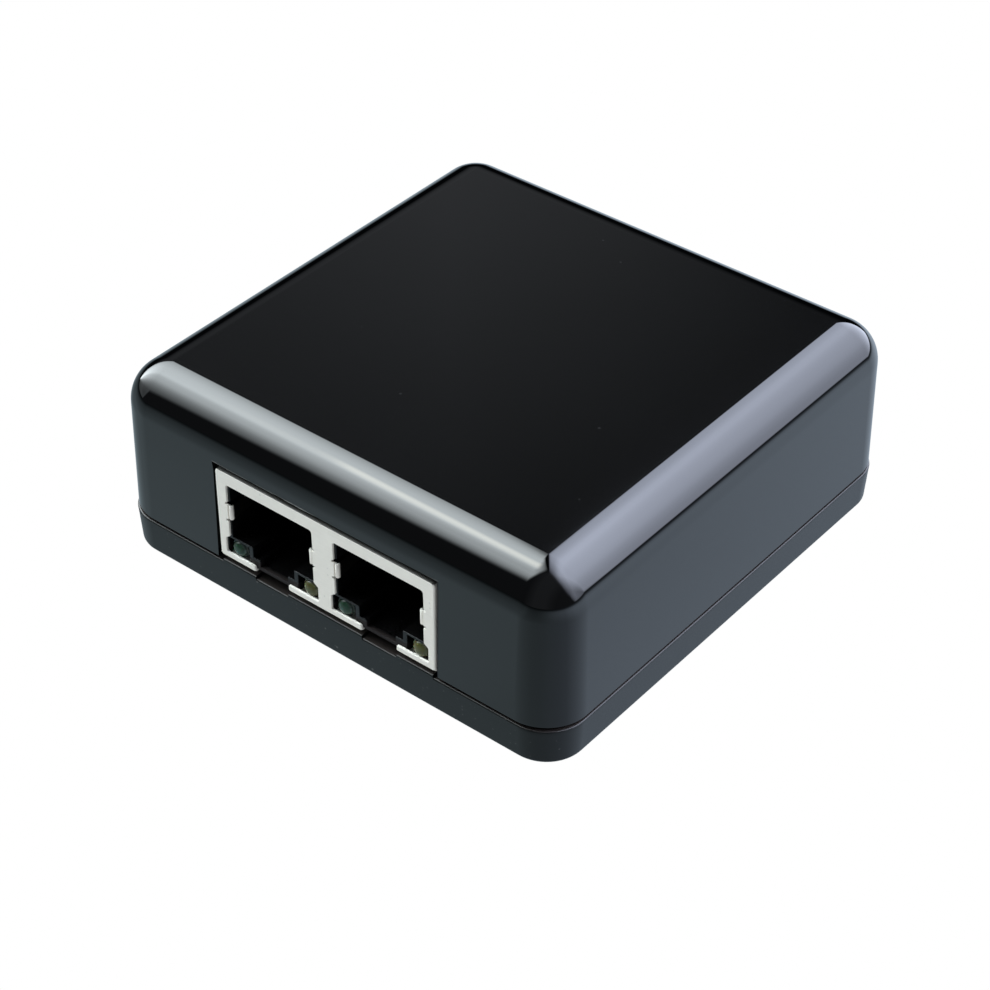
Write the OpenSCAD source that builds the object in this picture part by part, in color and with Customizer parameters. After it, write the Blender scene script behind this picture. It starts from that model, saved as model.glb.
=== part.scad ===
// Two-port power-over-Ethernet injector, square desktop case.
// The origin is the centre of the footprint on the surface that the feet stand on.
// +Z is up, -Y is the side with the two network ports, +Y is the side with the power inlet.

/* [Case] */
// Width of the case, side to side
case_w = 62; // [61.5:0.5:64]
// Depth of the case, front to back
case_d = 62; // [61.5:0.5:64]
// Height of the case without its feet
case_h = 23.65; // [23.4:0.05:25]
// Radius of the four upright corners
corner_r = 5.3; // [5.2:0.1:5.8]
// Radius of the rounded edge round the roof
top_edge_r = 4.9; // [4:0.1:5]
// Wall thickness of the top cover
wall = 2; // [1.8:0.1:2.1]
// Thickness of the base plate's floor
floor_t = 2; // [1.9:0.1:2.1]
// Height of the base plate's rim above its underside
rim_h = 4.65; // [4.5:0.05:4.7]
// Height of the groove between base plate and top cover
seam_gap = 0.35; // [0.2:0.05:0.45]
// Radius of the base plate's upright corners
base_corner_r = 4.9; // [4.6:0.1:5.1]
// Radius of the base plate's lower edge
base_edge_r = 0.5; // [0.3:0.1:0.8]

/* [Feet, screws and label] */
// How far the rubber feet stand below the case
foot_h = 0.8; // [0.5:0.1:1.5]
// Radius of a rubber foot
foot_r = 4; // [3:0.1:4.2]
// Distance of the feet from the middle, both ways
foot_pos = 23.6; // [23:0.1:24]
// Distance of the case screws from the middle, sideways
screw_x = 24.4; // [24:0.1:24.6]
// Front screws' distance in front of the middle
screw_front = 13; // [12.5:0.1:13.5]
// Rear screws' distance behind the middle
screw_rear = 14; // [13.5:0.1:14.5]
// Length of a case screw under its head
screw_len = 10; // [9:0.5:11]
// Width of the blank rating label
label_w = 34; // [24:1:36]
// Height of the blank rating label
label_d = 22; // [16:1:24]

/* [Network jack] */
// Distance between the two ports' middles
port_pitch = 15.24; // [15.2:0.01:15.3]
// Width of the metal shield
shield_w = 30.5; // [30.4:0.05:30.6]
// Height of the metal shield
shield_h = 11.83; // [11.8:0.01:11.85]
// Thickness of the shield's sheet
sheet = 0.25; // [0.2:0.01:0.25]
// How far the shield's face lies behind the case's front
recess = 0.1; // [0.1:0.05:0.3]
// Width of a port's opening in the shield
opening_w = 12.2; // [11.9:0.05:12.2]
// Distance between neighbouring contacts
contact_pitch = 1.02; // [1:0.01:1.04]
// Radius of a contact wire
wire_r = 0.2; // [0.15:0.01:0.2]
// Radius of an indicator's round lens
led_r = 1.15; // [1:0.05:1.15]

/* [Power inlet] */
// Bore radius of the inlet
inlet_r = 3.15; // [3:0.05:3.2]
// Radius of the inlet's centre pin
inlet_pin_r = 1; // [0.95:0.01:1.05]
// Height of the inlet's axis above the board
inlet_axis = 6.3; // [6.2:0.05:6.4]

/* [Power parts] */
// Radius of the power inductor
inductor_r = 6; // [5:0.1:6]
// Height of the power inductor
inductor_h = 8; // [6:0.5:10]
// Radius of the input capacitor
cap_in_r = 4; // [3.5:0.1:4]
// Height of the input capacitor
cap_in_h = 11.5; // [9:0.5:13]
// Radius of the output capacitor
cap_out_r = 5; // [4:0.1:5]
// Height of the output capacitor
cap_out_h = 12.5; // [9:0.5:14]

/* [Hidden] */

$fn = 64;
over = 1;                                // overshoot of a cutting solid
through = 9;                             // length of a cut through the base plate or board
sides = [-1, 1];

// Case; heights are above the underside of the case
half_w = case_w / 2;
half_d = case_d / 2;
cover_z = rim_h + seam_gap;              // lower edge of the top cover
screw_hole_r = 1.4;
screws = [for (side = sides) for (y = [-screw_front, screw_rear]) [side * screw_x, y]];
feet = [for (x = sides) for (y = sides) [x * foot_pos, y * foot_pos]];

// Circuit board
board_z = 3.9;                           // underside of the board
board_top = board_z + 1.6;
board_w = 54.8;

// Network jack
jack_x = port_pitch / 2;
jack_y0 = -half_d + recess;              // front face of the shield
jack_y1 = jack_y0 + 21.3;                // rear edge of the shield
jack_z0 = board_top + 0.07;
jack_z1 = jack_z0 + shield_h;
cavity_z0 = jack_z0 + 2.95;              // floor of a plug cavity
cavity_z1 = jack_z0 + 10.1;
notch_x = [-2.5, 2.3];                   // sides of the notch below an opening
tail_y = [jack_y0 + 15.56, jack_y0 + 18.1];      // contact tails, even and odd
leg_y = [jack_y0 + 6.7, jack_y0 + 16.7];         // shield legs
leg_end_z = board_z - 1.1;               // lower end of the legs and tabs
back_tab_x = 12;
peg_y = jack_y0 + 12.2;                  // housing pegs in the board
led_x = 5.2;                             // indicators' distance from a port's middle
led_z = jack_z0 + 1.48;
led_lead_y = [jack_y0 + 7.9, jack_y0 + 10.4];
wire_end_z = board_z - 0.9;              // lower end of contact and indicator wires

// Power inlet
inlet_z = board_top + inlet_axis;
inlet_face = half_d - 0.3;
inlet_back = inlet_face - 14.2;
leaf_y = inlet_back + 4.1;               // line on which the sleeve spring bends
leaf_z = inlet_z - 3.2;
ear_y = [2.95, 4.05];                    // edges of the leaf's ear, along the leaf
switch_y = leaf_y + 3.5;                 // middle of the switch contact

// Middles of the parts on the board
transformers = [[-9.2, -2.4], [9.2, -2.4]];
inductor = [-14.2, 11.2];
transistor = [-3.4, 9.4];
schottky = [4.6, 11.6];
surge = [-23.2, 4.2];
fuse = [23.4, 5];
choke = [14.4, 9.4];
poe_chip = [-21.4, -4.6];
boost_chip = [21.4, -4.6];
// Columns: middle, radius, height, leads' distance from the middle
capacitors = [
  [[-12.6, 22.4], cap_in_r, cap_in_h, 1.75],
  [[14.2, 20.4], cap_out_r, cap_out_h, 2.5],
];

// Colours
shell = "#141517";
matte = "#1a1b1d";
tin = "#d6d7ce";
gold = "#d9b45b";
steel = "#b9bcc0";
copper = "#b4622d";
moulding = "#1b1c1e";
carrier_black = "#202122";
green = "#2f6b3c";
yellow = "#8a8430";

// ---- shared shapes ----

// Pieces are drawn from the underside of the case and lifted by the height of the feet
module lifted() { translate([0, 0, foot_h]) children(); }

// Places a part just above the board
module on_board(spot) { translate([spot.x, spot.y, foot_h + board_top + 0.02]) children(); }

// Moves to a spot in plan
module at(spot) { translate([spot.x, spot.y, 0]) children(); }

// Box given by its lowest and highest corners
module block(low, high) { translate(low) cube(high - low); }

// Box centred in plan, with its underside at height z
module raised_box(size, z) { translate([-size.x / 2, -size.y / 2, z]) cube(size); }

// Flat outline with round corners
module round_rect(width, depth, radius) {
  square([width - 2 * radius, depth], center = true);
  square([width, depth - 2 * radius], center = true);
  for (x = sides) for (y = sides)
    translate([x * (width / 2 - radius), y * (depth / 2 - radius)]) circle(r = radius);
}

// Section through a rounded edge, from the upright corner's axis outwards
module edge_section(corner, edge) {
  square([corner - edge, edge]);
  intersection() {
    translate([corner - edge, 0]) circle(r = edge);
    translate([corner - edge, 0]) square([edge, edge]);
  }
}

// Band as high as its edge radius, its upper edge rounded all the way round
module round_band(width, depth, corner, edge) {
  x = width / 2 - corner;
  y = depth / 2 - corner;
  block([-x, -y, 0], [x, y, edge]);
  for (turn = [0, 180]) rotate([0, 0, turn]) {
    translate([x, y, 0]) rotate([90, 0, 0]) linear_extrude(2 * y) edge_section(corner, edge);
    rotate([0, 0, 90]) translate([y, x, 0]) rotate([90, 0, 0])
      linear_extrude(2 * x) edge_section(corner, edge);
    translate([x, y, 0]) rotate_extrude(angle = 90) edge_section(corner, edge);
    translate([-x, y, 0]) rotate([0, 0, 90]) rotate_extrude(angle = 90) edge_section(corner, edge);
  }
}

// Block with round upright corners and a rounded upper edge
module soft_block(width, depth, height, corner, edge) {
  linear_extrude(height - edge) round_rect(width, depth, corner);
  translate([0, 0, height - edge]) round_band(width, depth, corner, edge);
}

// Rod from the origin along +Z with a domed end
module dome_rod(radius, length) {
  rotate_extrude() {
    square([radius, length - radius]);
    intersection() {
      translate([0, length - radius]) circle(r = radius);
      translate([0, length - radius]) square([radius, radius]);
    }
  }
}

// Rod from the origin along +Z with a small chamfer at its end
module chamfer_rod(radius, length, chamfer = 0.35) {
  rotate_extrude() polygon([[0, 0], [radius, 0], [radius, length - chamfer],
    [radius - chamfer, length], [0, length]]);
}

// Rod along X, centred on the origin
module rod_x(radius, length) { rotate([0, 90, 0]) cylinder(r = radius, h = length, center = true); }

// Rod along Y from y0 to y1
module rod_y(radius, y0, y1) {
  translate([0, y0, 0]) rotate([-90, 0, 0]) cylinder(r = radius, h = y1 - y0);
}

// Gull-wing lead: down the body's side from the given height, reaching out along +Y
module gull_lead(width, reach, height, thick = 0.15) {
  knee = reach * 0.4;
  rotate([90, 0, 90]) linear_extrude(width, center = true)
    polygon([[0, height - thick], [knee, height - thick], [knee, 0], [reach, 0],
      [reach, thick], [knee + thick, thick], [knee + thick, height], [0, height]]);
}

// Two rows of gull-wing leads along the sides of a body of the given depth
module lead_rows(count, pitch, width, depth, reach, height) {
  for (i = [0:count - 1]) for (turn = [0, 180]) rotate([0, 0, turn])
    translate([(i - (count - 1) / 2) * pitch, depth / 2 + 0.02, 0]) gull_lead(width, reach, height);
}

// Port 1 is on side -1 (left), port 2 on side 1 (right)
module at_port(side) { translate([side * jack_x, 0, 0]) children(); }
module for_ports() { for (side = sides) at_port(side) children(); }

// Contact and indicator wires' places from a port's middle
function contact_x(i) = (i - 3.5) * contact_pitch;
function led_lead_x(side, j) = side * led_x + (j - 0.5) * 1.1;

// ---- case ----

cover_fit = 0.1;                         // gap between the base plate's lip and the cover
lip_h = 1.75;
rim_wall = 3;                            // from the case's outside to the base plate's pocket
post_z = 0.6;                            // lower end of the base plate's screw posts
foot_pocket = 0.7;

// Cutting box, centred sideways, from the case's underside up
module cover_window(width, top, y0, y1) { block([-width / 2, y0, 0], [width / 2, y1, top]); }

// Screw boss under the roof with a rib to the side wall
module cover_boss(spot) {
  rib_t = 1.2;
  wall_x = sign(spot.x) * (half_w - wall + 0.2);
  translate([spot.x, spot.y, board_top + 0.05])
    cylinder(r = 2.7, h = case_h - wall - board_top + 0.4);
  block([min(spot.x, wall_x), spot.y - rib_t / 2, rim_h + 2.3],
        [max(spot.x, wall_x), spot.y + rib_t / 2, case_h - 6]);
}

module top_cover() {
  color(shell) lifted() difference() {
    union() {
      difference() {
        translate([0, 0, cover_z])
          soft_block(case_w, case_d, case_h - cover_z, corner_r, top_edge_r);
        translate([0, 0, cover_z - over])
          soft_block(case_w - 2 * wall, case_d - 2 * wall, case_h - wall - cover_z + over,
            corner_r - wall, top_edge_r - wall);
      }
      for (spot = screws) cover_boss(spot);
    }
    for (spot = screws) at(spot) cylinder(r = 1.05, h = 14);
    cover_window(31.3, jack_z1 + 0.55, -half_d - over, -half_d + wall + 0.5);
    cover_window(9.4, board_top + 11.3, half_d - wall - 0.5, half_d + over);
  }
}

// Plate with its lower edge rounded and a lip that enters the cover
module base_outside() {
  inset = 2 * (wall + cover_fit);
  translate([0, 0, base_edge_r]) mirror([0, 0, 1])
    round_band(case_w, case_d, base_corner_r, base_edge_r);
  translate([0, 0, base_edge_r]) linear_extrude(rim_h - base_edge_r)
    round_rect(case_w, case_d, base_corner_r);
  translate([0, 0, rim_h]) linear_extrude(lip_h)
    round_rect(case_w - inset, case_d - inset, corner_r - wall - cover_fit);
}

module base_plate() {
  sill_end = 14.9;
  // Raised sills on the front rim, left open below the ports' notches
  sills = [[-sill_end, -jack_x + notch_x[0]], [notch_x[1] - jack_x, jack_x + notch_x[0]],
    [jack_x + notch_x[1], sill_end]];
  color(matte) lifted() difference() {
    union() {
      difference() {
        union() base_outside();
        translate([0, 0, floor_t]) linear_extrude(through)
          round_rect(case_w - 2 * rim_wall, case_d - 2 * rim_wall, 2);
        block([-16.3, -half_d - over, rim_h], [16.3, -half_d + 5, through]);
        block([-5, half_d - 5, rim_h], [5, half_d + over, through]);
      }
      for (sill = sills)
        block([sill[0], -half_d, rim_h - 0.5], [sill[1], -half_d + rim_wall, rim_h + 0.35]);
      for (spot = screws) translate([spot.x, spot.y, post_z]) {
        cylinder(r = 3.4, h = floor_t + 0.3);
        cylinder(r = 2.6, h = board_z - post_z);
      }
      // Ribs across the floor
      for (y = [-20, 0, 20]) block([-9, y - 0.5, floor_t - 0.2], [9, y + 0.5, board_z - 1.2]);
    }
    for (spot = screws) translate([spot.x, spot.y, -over]) {
      cylinder(r = 2.5, h = 1.9 + over);
      cylinder(r = screw_hole_r, h = through);
    }
    for (spot = feet) translate([spot.x, spot.y, -over])
      cylinder(r = foot_r + 0.1, h = foot_pocket + over);
    translate([0, 0, -over]) linear_extrude(over + 0.2)
      round_rect(label_w + 0.6, label_d + 0.6, 1.3);
  }
}

// Screw with a cross-slotted head below and separate thread rings on its shank
module case_screw() {
  slot_l = 2.4;
  slot_w = 0.4;
  head = [[0, 0], [1.5, 0], [2.1, 0.5], [2.1, 1.5], [0, 1.5]];
  thread = [[0.5, -0.35], [1, -0.35], [1.25, -0.05], [1.25, 0.05], [1, 0.35], [0.5, 0.35]];
  difference() {
    union() {
      translate([0, 0, 0.4]) rotate_extrude() polygon(head);
      translate([0, 0, 1.8]) cylinder(r = 1, h = screw_len);
      for (i = [0:6]) translate([0, 0, 6.2 + i * 0.8]) rotate_extrude() polygon(thread);
    }
    raised_box([slot_l, slot_w, 1.2], 0);
    raised_box([slot_w, slot_l, 1.2], 0);
  }
}

module case_screws() { color(steel) lifted() for (spot = screws) at(spot) case_screw(); }

module rubber_feet() {
  chamfer = 0.4;
  top = foot_h + foot_pocket - 0.05;
  color("#26272a") for (spot = feet) at(spot) rotate_extrude()
    polygon([[0, 0], [foot_r - chamfer, 0], [foot_r, chamfer], [foot_r, top], [0, top]]);
}

module rating_label() {
  color("#8f9296") lifted() translate([0, 0, 0.06])
    linear_extrude(0.12) round_rect(label_w, label_d, 1);
}

module board_hole(spot, radius) { at(spot) cylinder(r = radius, h = through); }
module board_slot(spot, width, depth) { at(spot) raised_box([width, depth, through], 0); }

module circuit_board() {
  color("#1f5a3a") lifted() difference() {
    translate([0, 0, board_z + 0.02]) linear_extrude(board_top - board_z - 0.02)
      round_rect(board_w, board_w, 1.2);
    for (spot = screws) board_hole(spot, screw_hole_r);
    for_ports() {
      for (i = [0:7]) board_hole([contact_x(i), tail_y[i % 2]], 0.4);
      for (side = sides) for (j = [0, 1]) board_hole([led_lead_x(side, j), led_lead_y[j]], 0.35);
      board_hole([0, peg_y], 1.6);
    }
    for (side = sides) {
      for (y = leg_y) board_slot([side * 15.1, y], 1, 1.8);
      board_slot([side * back_tab_x, jack_y1 - 0.1], 1.8, 1);
      for (cap = capacitors) board_hole(cap[0] + [side * cap[3], 0], 0.45);
    }
    // The power inlet's three terminals
    board_slot([0, inlet_back + 1.5], 3, 1);
    board_slot([0, leaf_y], 2.4, 1.2);
    board_slot([-3.6, switch_y], 1.2, 1.2);
  }
}

// ---- network jack ----

inner_x = shield_w / 2 - sheet - 0.05;   // side of what fits inside the shield
inner_top = jack_z1 - sheet - 0.05;
carrier_y = jack_y0 + 13.5;              // front of a contact carrier's body
joint_r = wire_r + 0.02;                 // ball at a wire's bend or end
flex_y = jack_y0 + 4.1;                  // line on which a contact spring bends
flex_z = jack_z0 + 9.6;
tip_y = jack_y0 + 12.3;                  // free end of a contact spring
tip_z = jack_z0 + 6.35;
wire_z = jack_z0 + 10.45;                // fixed wires above the plug cavity
finger_r = 0.27;
finger_len = 6;
finger_z = jack_z0 + 5.53;               // lower edge of the ground fingers
finger_h = 1.9;

// Outline of one port's opening in the shield's face: plug opening, wide indicator row, notch
module port_outline() {
  row_x = 6.68;
  row_z0 = jack_z0 + 0.78;
  row_z1 = jack_z0 + 2.7;
  plug_z0 = cavity_z0 - 0.1;
  plug_x = opening_w / 2;
  translate([-plug_x, plug_z0]) square([opening_w, jack_z0 + 10.15 - plug_z0]);
  translate([-row_x, row_z0]) square([2 * row_x, row_z1 - row_z0]);
  polygon([[-row_x, row_z1 - 0.01], [row_x, row_z1 - 0.01],
    [plug_x, row_z1 + 0.4], [-plug_x, row_z1 + 0.4]]);
  translate([notch_x[0], jack_z0 - 1]) square([notch_x[1] - notch_x[0], 2]);
}

// Sheet box, open below and behind, with two legs on each side
module jack_shield() {
  side_x = shield_w / 2;
  color(tin) lifted() difference() {
    union() {
      difference() {
        block([-side_x, jack_y0, jack_z0], [side_x, jack_y1, jack_z1]);
        block([-side_x + sheet, jack_y0 + sheet, jack_z0 - over],
              [side_x - sheet, jack_y1 + over, jack_z1 - sheet]);
      }
      block([-side_x, jack_y0, jack_z0], [side_x, jack_y0 + 2.1, jack_z0 + sheet]);
      for (x = [-side_x, side_x - sheet]) for (y = leg_y)
        block([x, y - 0.55, leg_end_z], [x + sheet, y + 0.55, jack_z0 + 1]);
    }
    for_ports() translate([0, jack_y0 + 3, 0]) rotate([90, 0, 0])
      linear_extrude(3 + over) port_outline();
  }
}

module jack_shield_back() {
  y = jack_y1 - sheet - 0.05;
  color(tin) lifted() {
    block([-inner_x, y, jack_z0 + 0.05], [inner_x, y + sheet, inner_top]);
    for (side = sides)
      block([side * back_tab_x - 0.6, y, leg_end_z],
            [side * back_tab_x + 0.6, y + sheet, jack_z0 + 1]);
  }
}

module jack_housing() {
  y0 = jack_y0 + sheet + 0.05;
  y1 = jack_y1 - sheet - 0.15;
  front = y0 - over;
  rear = y1 + over;
  below = jack_z0 - over;
  latch_end = y0 + 12.9;
  color("#161616") lifted() difference() {
    union() {
      block([-inner_x, y0, jack_z0], [inner_x, y1, inner_top]);
      for_ports() translate([0, peg_y, board_z - 1]) cylinder(r = 1.5, h = 3);
    }
    // Room for the shield's bottom strip
    block([-inner_x - over, front, below], [inner_x + over, jack_y0 + 2.2, jack_z0 + sheet + 0.05]);
    for_ports() {
      // Plug cavity and the stepped channel below it
      block([-5.95, front, cavity_z0], [5.95, rear, cavity_z1]);
      block([-3, front, jack_z0 + 1.58], [3, latch_end, cavity_z0 + over]);
      block([-2, front, jack_z0 + 0.73], [2, latch_end, jack_z0 + 2]);
      // Wires above the cavity and their tails behind it
      block([-4.4, jack_y0 + 3.3, cavity_z1 - 0.1], [4.4, rear, jack_z0 + 10.93]);
      block([-4.3, jack_y0 + 14.7, below], [4.3, jack_y0 + 18.9, cavity_z0 + 0.1]);
      // Indicator below and ground finger beside the cavity
      for (flip = [0, 1]) mirror([flip, 0, 0]) {
        block([3.55, front, below], [6.6, jack_y0 + 12, jack_z0 + 2.68]);
        block([5.9, front, jack_z0 + 5.2], [6.75, jack_y0 + 7.2, jack_z0 + 7.75]);
      }
    }
  }
}

// Insulator that closes the rear of a plug cavity and guides the contact wires
module contact_carrier() {
  rib_t = 0.3;
  difference() {
    union() {
      block([-5.85, carrier_y, cavity_z0 + 0.05],
            [5.85, jack_y1 - sheet - 0.25, cavity_z1 - 0.05]);
      for (i = [0:8])
        translate([(i - 4) * contact_pitch - rib_t / 2, carrier_y - 2.1, jack_z0 + 5.4])
          cube([rib_t, 2.6, 4.35]);
    }
    for (i = [0:7]) at([contact_x(i), tail_y[i % 2]]) cylinder(r = wire_r + 0.06, h = 30);
  }
}

module port_1_contact_carrier() { color(carrier_black) lifted() at_port(-1) contact_carrier(); }
module port_2_contact_carrier() { color(carrier_black) lifted() at_port(1) contact_carrier(); }

// Fixed part of the eight contact wires: over the plug cavity and down through the board
module contact_tails() {
  stub_z = flex_z + 0.36;                // clear of the spring's bend
  for (i = [0:7]) translate([contact_x(i), 0, 0]) {
    y = tail_y[i % 2];
    translate([0, 0, wire_z]) rod_y(wire_r, flex_y, y);
    translate([0, y, wire_end_z]) cylinder(r = wire_r, h = wire_z - wire_end_z);
    translate([0, y, wire_z]) sphere(r = joint_r);
    translate([0, flex_y, wire_z]) sphere(r = joint_r);
    translate([0, flex_y, stub_z]) cylinder(r = wire_r, h = wire_z - stub_z);
  }
}

module port_1_contact_tails() { color(gold) lifted() at_port(-1) contact_tails(); }
module port_2_contact_tails() { color(gold) lifted() at_port(1) contact_tails(); }

// Moving part of the eight contact wires: slopes down into the plug cavity from the bend line
module contact_springs() {
  length = norm([tip_y - flex_y, tip_z - flex_z]);
  slope = atan2(flex_z - tip_z, tip_y - flex_y);
  for (i = [0:7]) translate([contact_x(i), flex_y, flex_z]) {
    rod_x(0.3, 0.5);
    rotate([-slope, 0, 0]) {
      rod_y(wire_r, 0, length);
      translate([0, length, 0]) sphere(r = joint_r);
    }
  }
}

module port_1_contact_springs() { color(gold) lifted() at_port(-1) contact_springs(); }
module port_2_contact_springs() { color(gold) lifted() at_port(1) contact_springs(); }

// Ground finger at the right edge of an opening: round front bend, leaf running back, contact bump
module ground_finger() {
  leaf_t = 0.2;
  bump_r = 0.5;
  translate([opening_w / 2 - finger_r - 0.01, jack_y0 + finger_r + 0.01, finger_z]) {
    cylinder(r = finger_r, h = finger_h);
    rotate([0, 0, -5]) {
      block([-finger_r, 0, 0], [-finger_r + leaf_t, finger_len, finger_h]);
      translate([-finger_r + leaf_t, finger_len - 1.6, 0]) intersection() {
        cylinder(r = bump_r, h = finger_h);
        block([-bump_r, -bump_r, 0], [-0.05, bump_r, finger_h]);
      }
    }
  }
}

module left_finger(port) { color(tin) lifted() at_port(port) mirror([1, 0, 0]) ground_finger(); }
module right_finger(port) { color(tin) lifted() at_port(port) ground_finger(); }

module port_1_left_ground_finger() { left_finger(-1); }
module port_1_right_ground_finger() { right_finger(-1); }
module port_2_left_ground_finger() { left_finger(1); }
module port_2_right_ground_finger() { right_finger(1); }

// Indicator on one side of a port: domed lens towards the front, square flange behind it
module indicator(port, side) {
  lifted() translate([port * jack_x + side * led_x, 0, 0]) {
    translate([0, jack_y0 + 3.3, led_z]) rotate([90, 0, 0]) dome_rod(led_r, 3.2);
    block([-1.15, jack_y0 + 3.2, led_z - 1.1], [1.15, jack_y0 + 5.3, led_z + 1.05]);
  }
}

module port_1_green_led() { color(green) indicator(-1, -1); }
module port_1_yellow_led() { color(yellow) indicator(-1, 1); }
module port_2_green_led() { color(green) indicator(1, -1); }
module port_2_yellow_led() { color(yellow) indicator(1, 1); }

module led_leads() {
  lead_r = 0.2;
  color(steel) lifted() for_ports() for (side = sides) for (j = [0, 1])
    translate([led_lead_x(side, j), 0, 0]) {
      translate([0, 0, led_z]) rod_y(lead_r, jack_y0 + 5.32, led_lead_y[j]);
      translate([0, led_lead_y[j], led_z]) sphere(r = lead_r + 0.02);
      translate([0, led_lead_y[j], wire_end_z]) cylinder(r = lead_r, h = led_z - wire_end_z);
    }
}

// ---- power inlet ----

pin_free = 9.05;                         // length of the pin in front of the bore's floor
shank_end = 11.6;                        // rear end of the pin's shank, from its front end
pin_hole_r = inlet_pin_r - 0.35;         // hole for the shank
terminal_y = [inlet_back + 1.5, inlet_back + 1.85];
terminal_end_z = board_z - 1.2;
leaf_x = 1.1;                            // half the width of the leaf and its terminal
leaf_half_t = 0.15;
leaf_rise = 0.75;
leaf_run = 5.6;

module dc_jack_housing() {
  below = board_top - over;
  color("#17181a") lifted() difference() {
    block([-4.5, inlet_back, board_top + 0.03], [4.5, inlet_face, inlet_z + 4.7]);
    translate([0, 0, inlet_z]) rod_y(inlet_r, inlet_back + 4, inlet_face + over);
    translate([0, 0, inlet_z]) rod_y(pin_hole_r, inlet_back - over, inlet_face);
    // Pockets for the pin terminal, the leaf, its terminal and the switch contact
    block([-3.2, inlet_back - over, below], [3.2, inlet_back + 1.9, inlet_z + 2.7]);
    block([-1.4, leaf_y - 1, leaf_z - 1.4], [1.4, leaf_y + 8.6, inlet_z - 2]);
    block([-1.3, leaf_y - 0.7, below], [1.3, leaf_y + 0.9, leaf_z]);
    block([-3.85, leaf_y + 2.6, below], [-1.3, leaf_y + 4.4, inlet_z - 2.05]);
  }
}

// Pin with its chamfered end towards the inlet's face, thin shank and rear head
module dc_jack_center_pin() {
  color(steel) lifted() translate([0, inlet_face - 1.1, inlet_z]) rotate([90, 0, 0]) {
    translate([0, 0, pin_free]) mirror([0, 0, 1]) chamfer_rod(inlet_pin_r, pin_free);
    translate([0, 0, pin_free - 0.2])
      cylinder(r = inlet_pin_r - 0.4, h = shank_end + 0.2 - pin_free);
    translate([0, 0, shank_end + 0.02]) cylinder(r = 1.5, h = 0.4);
  }
}

module dc_jack_pin_terminal() {
  color(tin) lifted() difference() {
    union() {
      block([-1.6, terminal_y[0], board_top + 0.47], [1.6, terminal_y[1], inlet_z + 1.7]);
      block([-1.1, terminal_y[0], terminal_end_z], [1.1, terminal_y[1], board_top + 0.57]);
    }
    translate([0, 0, inlet_z]) rod_y(pin_hole_r, inlet_back, inlet_back + 3);
  }
}

// Moving leaf of the outer contact: rises to a crest, then drops towards the inlet's face
module dc_jack_sleeve_spring() {
  crest = 5.65;
  color(gold) lifted() translate([0, leaf_y, leaf_z]) {
    rod_x(0.35, 2 * leaf_x);
    rotate([atan2(leaf_rise, leaf_run), 0, 0]) {
      block([-leaf_x, 0, -leaf_half_t], [leaf_x, crest, leaf_half_t]);
      block([-3.2, ear_y[0], -leaf_half_t], [leaf_x, ear_y[1], leaf_half_t]);
      translate([0, crest, 0]) rotate([-28, 0, 0])
        block([-leaf_x, -0.08, -leaf_half_t], [leaf_x, 2.2, leaf_half_t]);
    }
  }
}

module dc_jack_sleeve_terminal() {
  color(tin) lifted()
    block([-leaf_x, leaf_y - 0.15, terminal_end_z], [leaf_x, leaf_y + 0.15, leaf_z - 0.41]);
}

// Fixed contact that the leaf's ear rests under when no plug is in
module dc_jack_switch_contact() {
  y0 = switch_y - 0.6;
  y1 = switch_y + 0.6;
  z = leaf_z + (switch_y - leaf_y) * leaf_rise / leaf_run + 0.3;
  top = z + 0.25;
  color(tin) lifted() {
    block([-3.75, y0, z], [-2.45, y1, top]);
    block([-3.75, y0, terminal_end_z], [-3.45, y1, top]);
  }
}

// ---- parts on the board ----

lead_pitch = 1.27;
transformer_size = [12.7, 9.4, 5.6];
soic_d = 3.9;                            // depth of a controller's body
poe_pins = 7;                            // leads on each side
boost_pins = 4;

module lan_transformers() {
  color(moulding) for (spot = transformers) on_board(spot) difference() {
    raised_box(transformer_size, 0.3);
    translate([-5.2, 3.5, 5.7]) cylinder(r = 0.5, h = 1);
  }
}

module lan_transformer_leads() {
  color(steel) for (spot = transformers) on_board(spot)
    lead_rows(8, lead_pitch, 0.5, transformer_size.y, 1.3, 2.4);
}

// Drum core: lower flange, post and upper flange
inductor_base = 1.6;
inductor_lid = 1.4;
inductor_post_r = inductor_r * 0.45;

module inductor_core() {
  color("#4a4c50") on_board(inductor) {
    cylinder(r = inductor_r, h = inductor_base);
    cylinder(r = inductor_post_r, h = inductor_h);
    translate([0, 0, inductor_h - inductor_lid]) cylinder(r = inductor_r, h = inductor_lid);
  }
}

// Five stacked bands, alternately a little wider and narrower
module inductor_winding() {
  gap = 0.05;
  band_h = (inductor_h - inductor_base - inductor_lid - 2 * gap) / 5;
  color(copper) on_board(inductor) translate([0, 0, inductor_base + gap]) rotate_extrude()
    for (i = [0:4]) translate([inductor_post_r + gap, i * band_h])
      square([inductor_r * (i % 2 == 0 ? 0.46 : 0.44), band_h]);
}

// Thin can with a crimped groove near its foot, open below
module capacitor_can(radius, height) {
  outer = radius - 0.2;
  inner = radius - 0.5;
  rotate_extrude() polygon([
    [inner, 0], [outer, 0], [outer, 1.2], [radius - 0.6, 1.5], [radius - 0.6, 1.8], [outer, 2.1],
    [outer, height - 0.3], [inner, height], [0, height], [0, height - 0.3], [inner, height - 0.3],
    [inner, 2.1], [radius - 0.9, 1.9], [radius - 0.9, 1.4], [inner, 1.1]]);
}

module capacitor_cans() {
  color(steel) for (cap = capacitors) on_board(cap[0]) capacitor_can(cap[1], cap[2]);
}

module capacitor_sleeve(radius, top) {
  difference() {
    translate([0, 0, 0.1]) cylinder(r = radius, h = top - 0.1);
    translate([0, 0, -over]) cylinder(r = radius - 0.18, h = top + 3 * over);
  }
}

module capacitor_sleeves() {
  color("#23304f") for (cap = capacitors) on_board(cap[0]) capacitor_sleeve(cap[1], cap[2] - 0.4);
}

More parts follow.
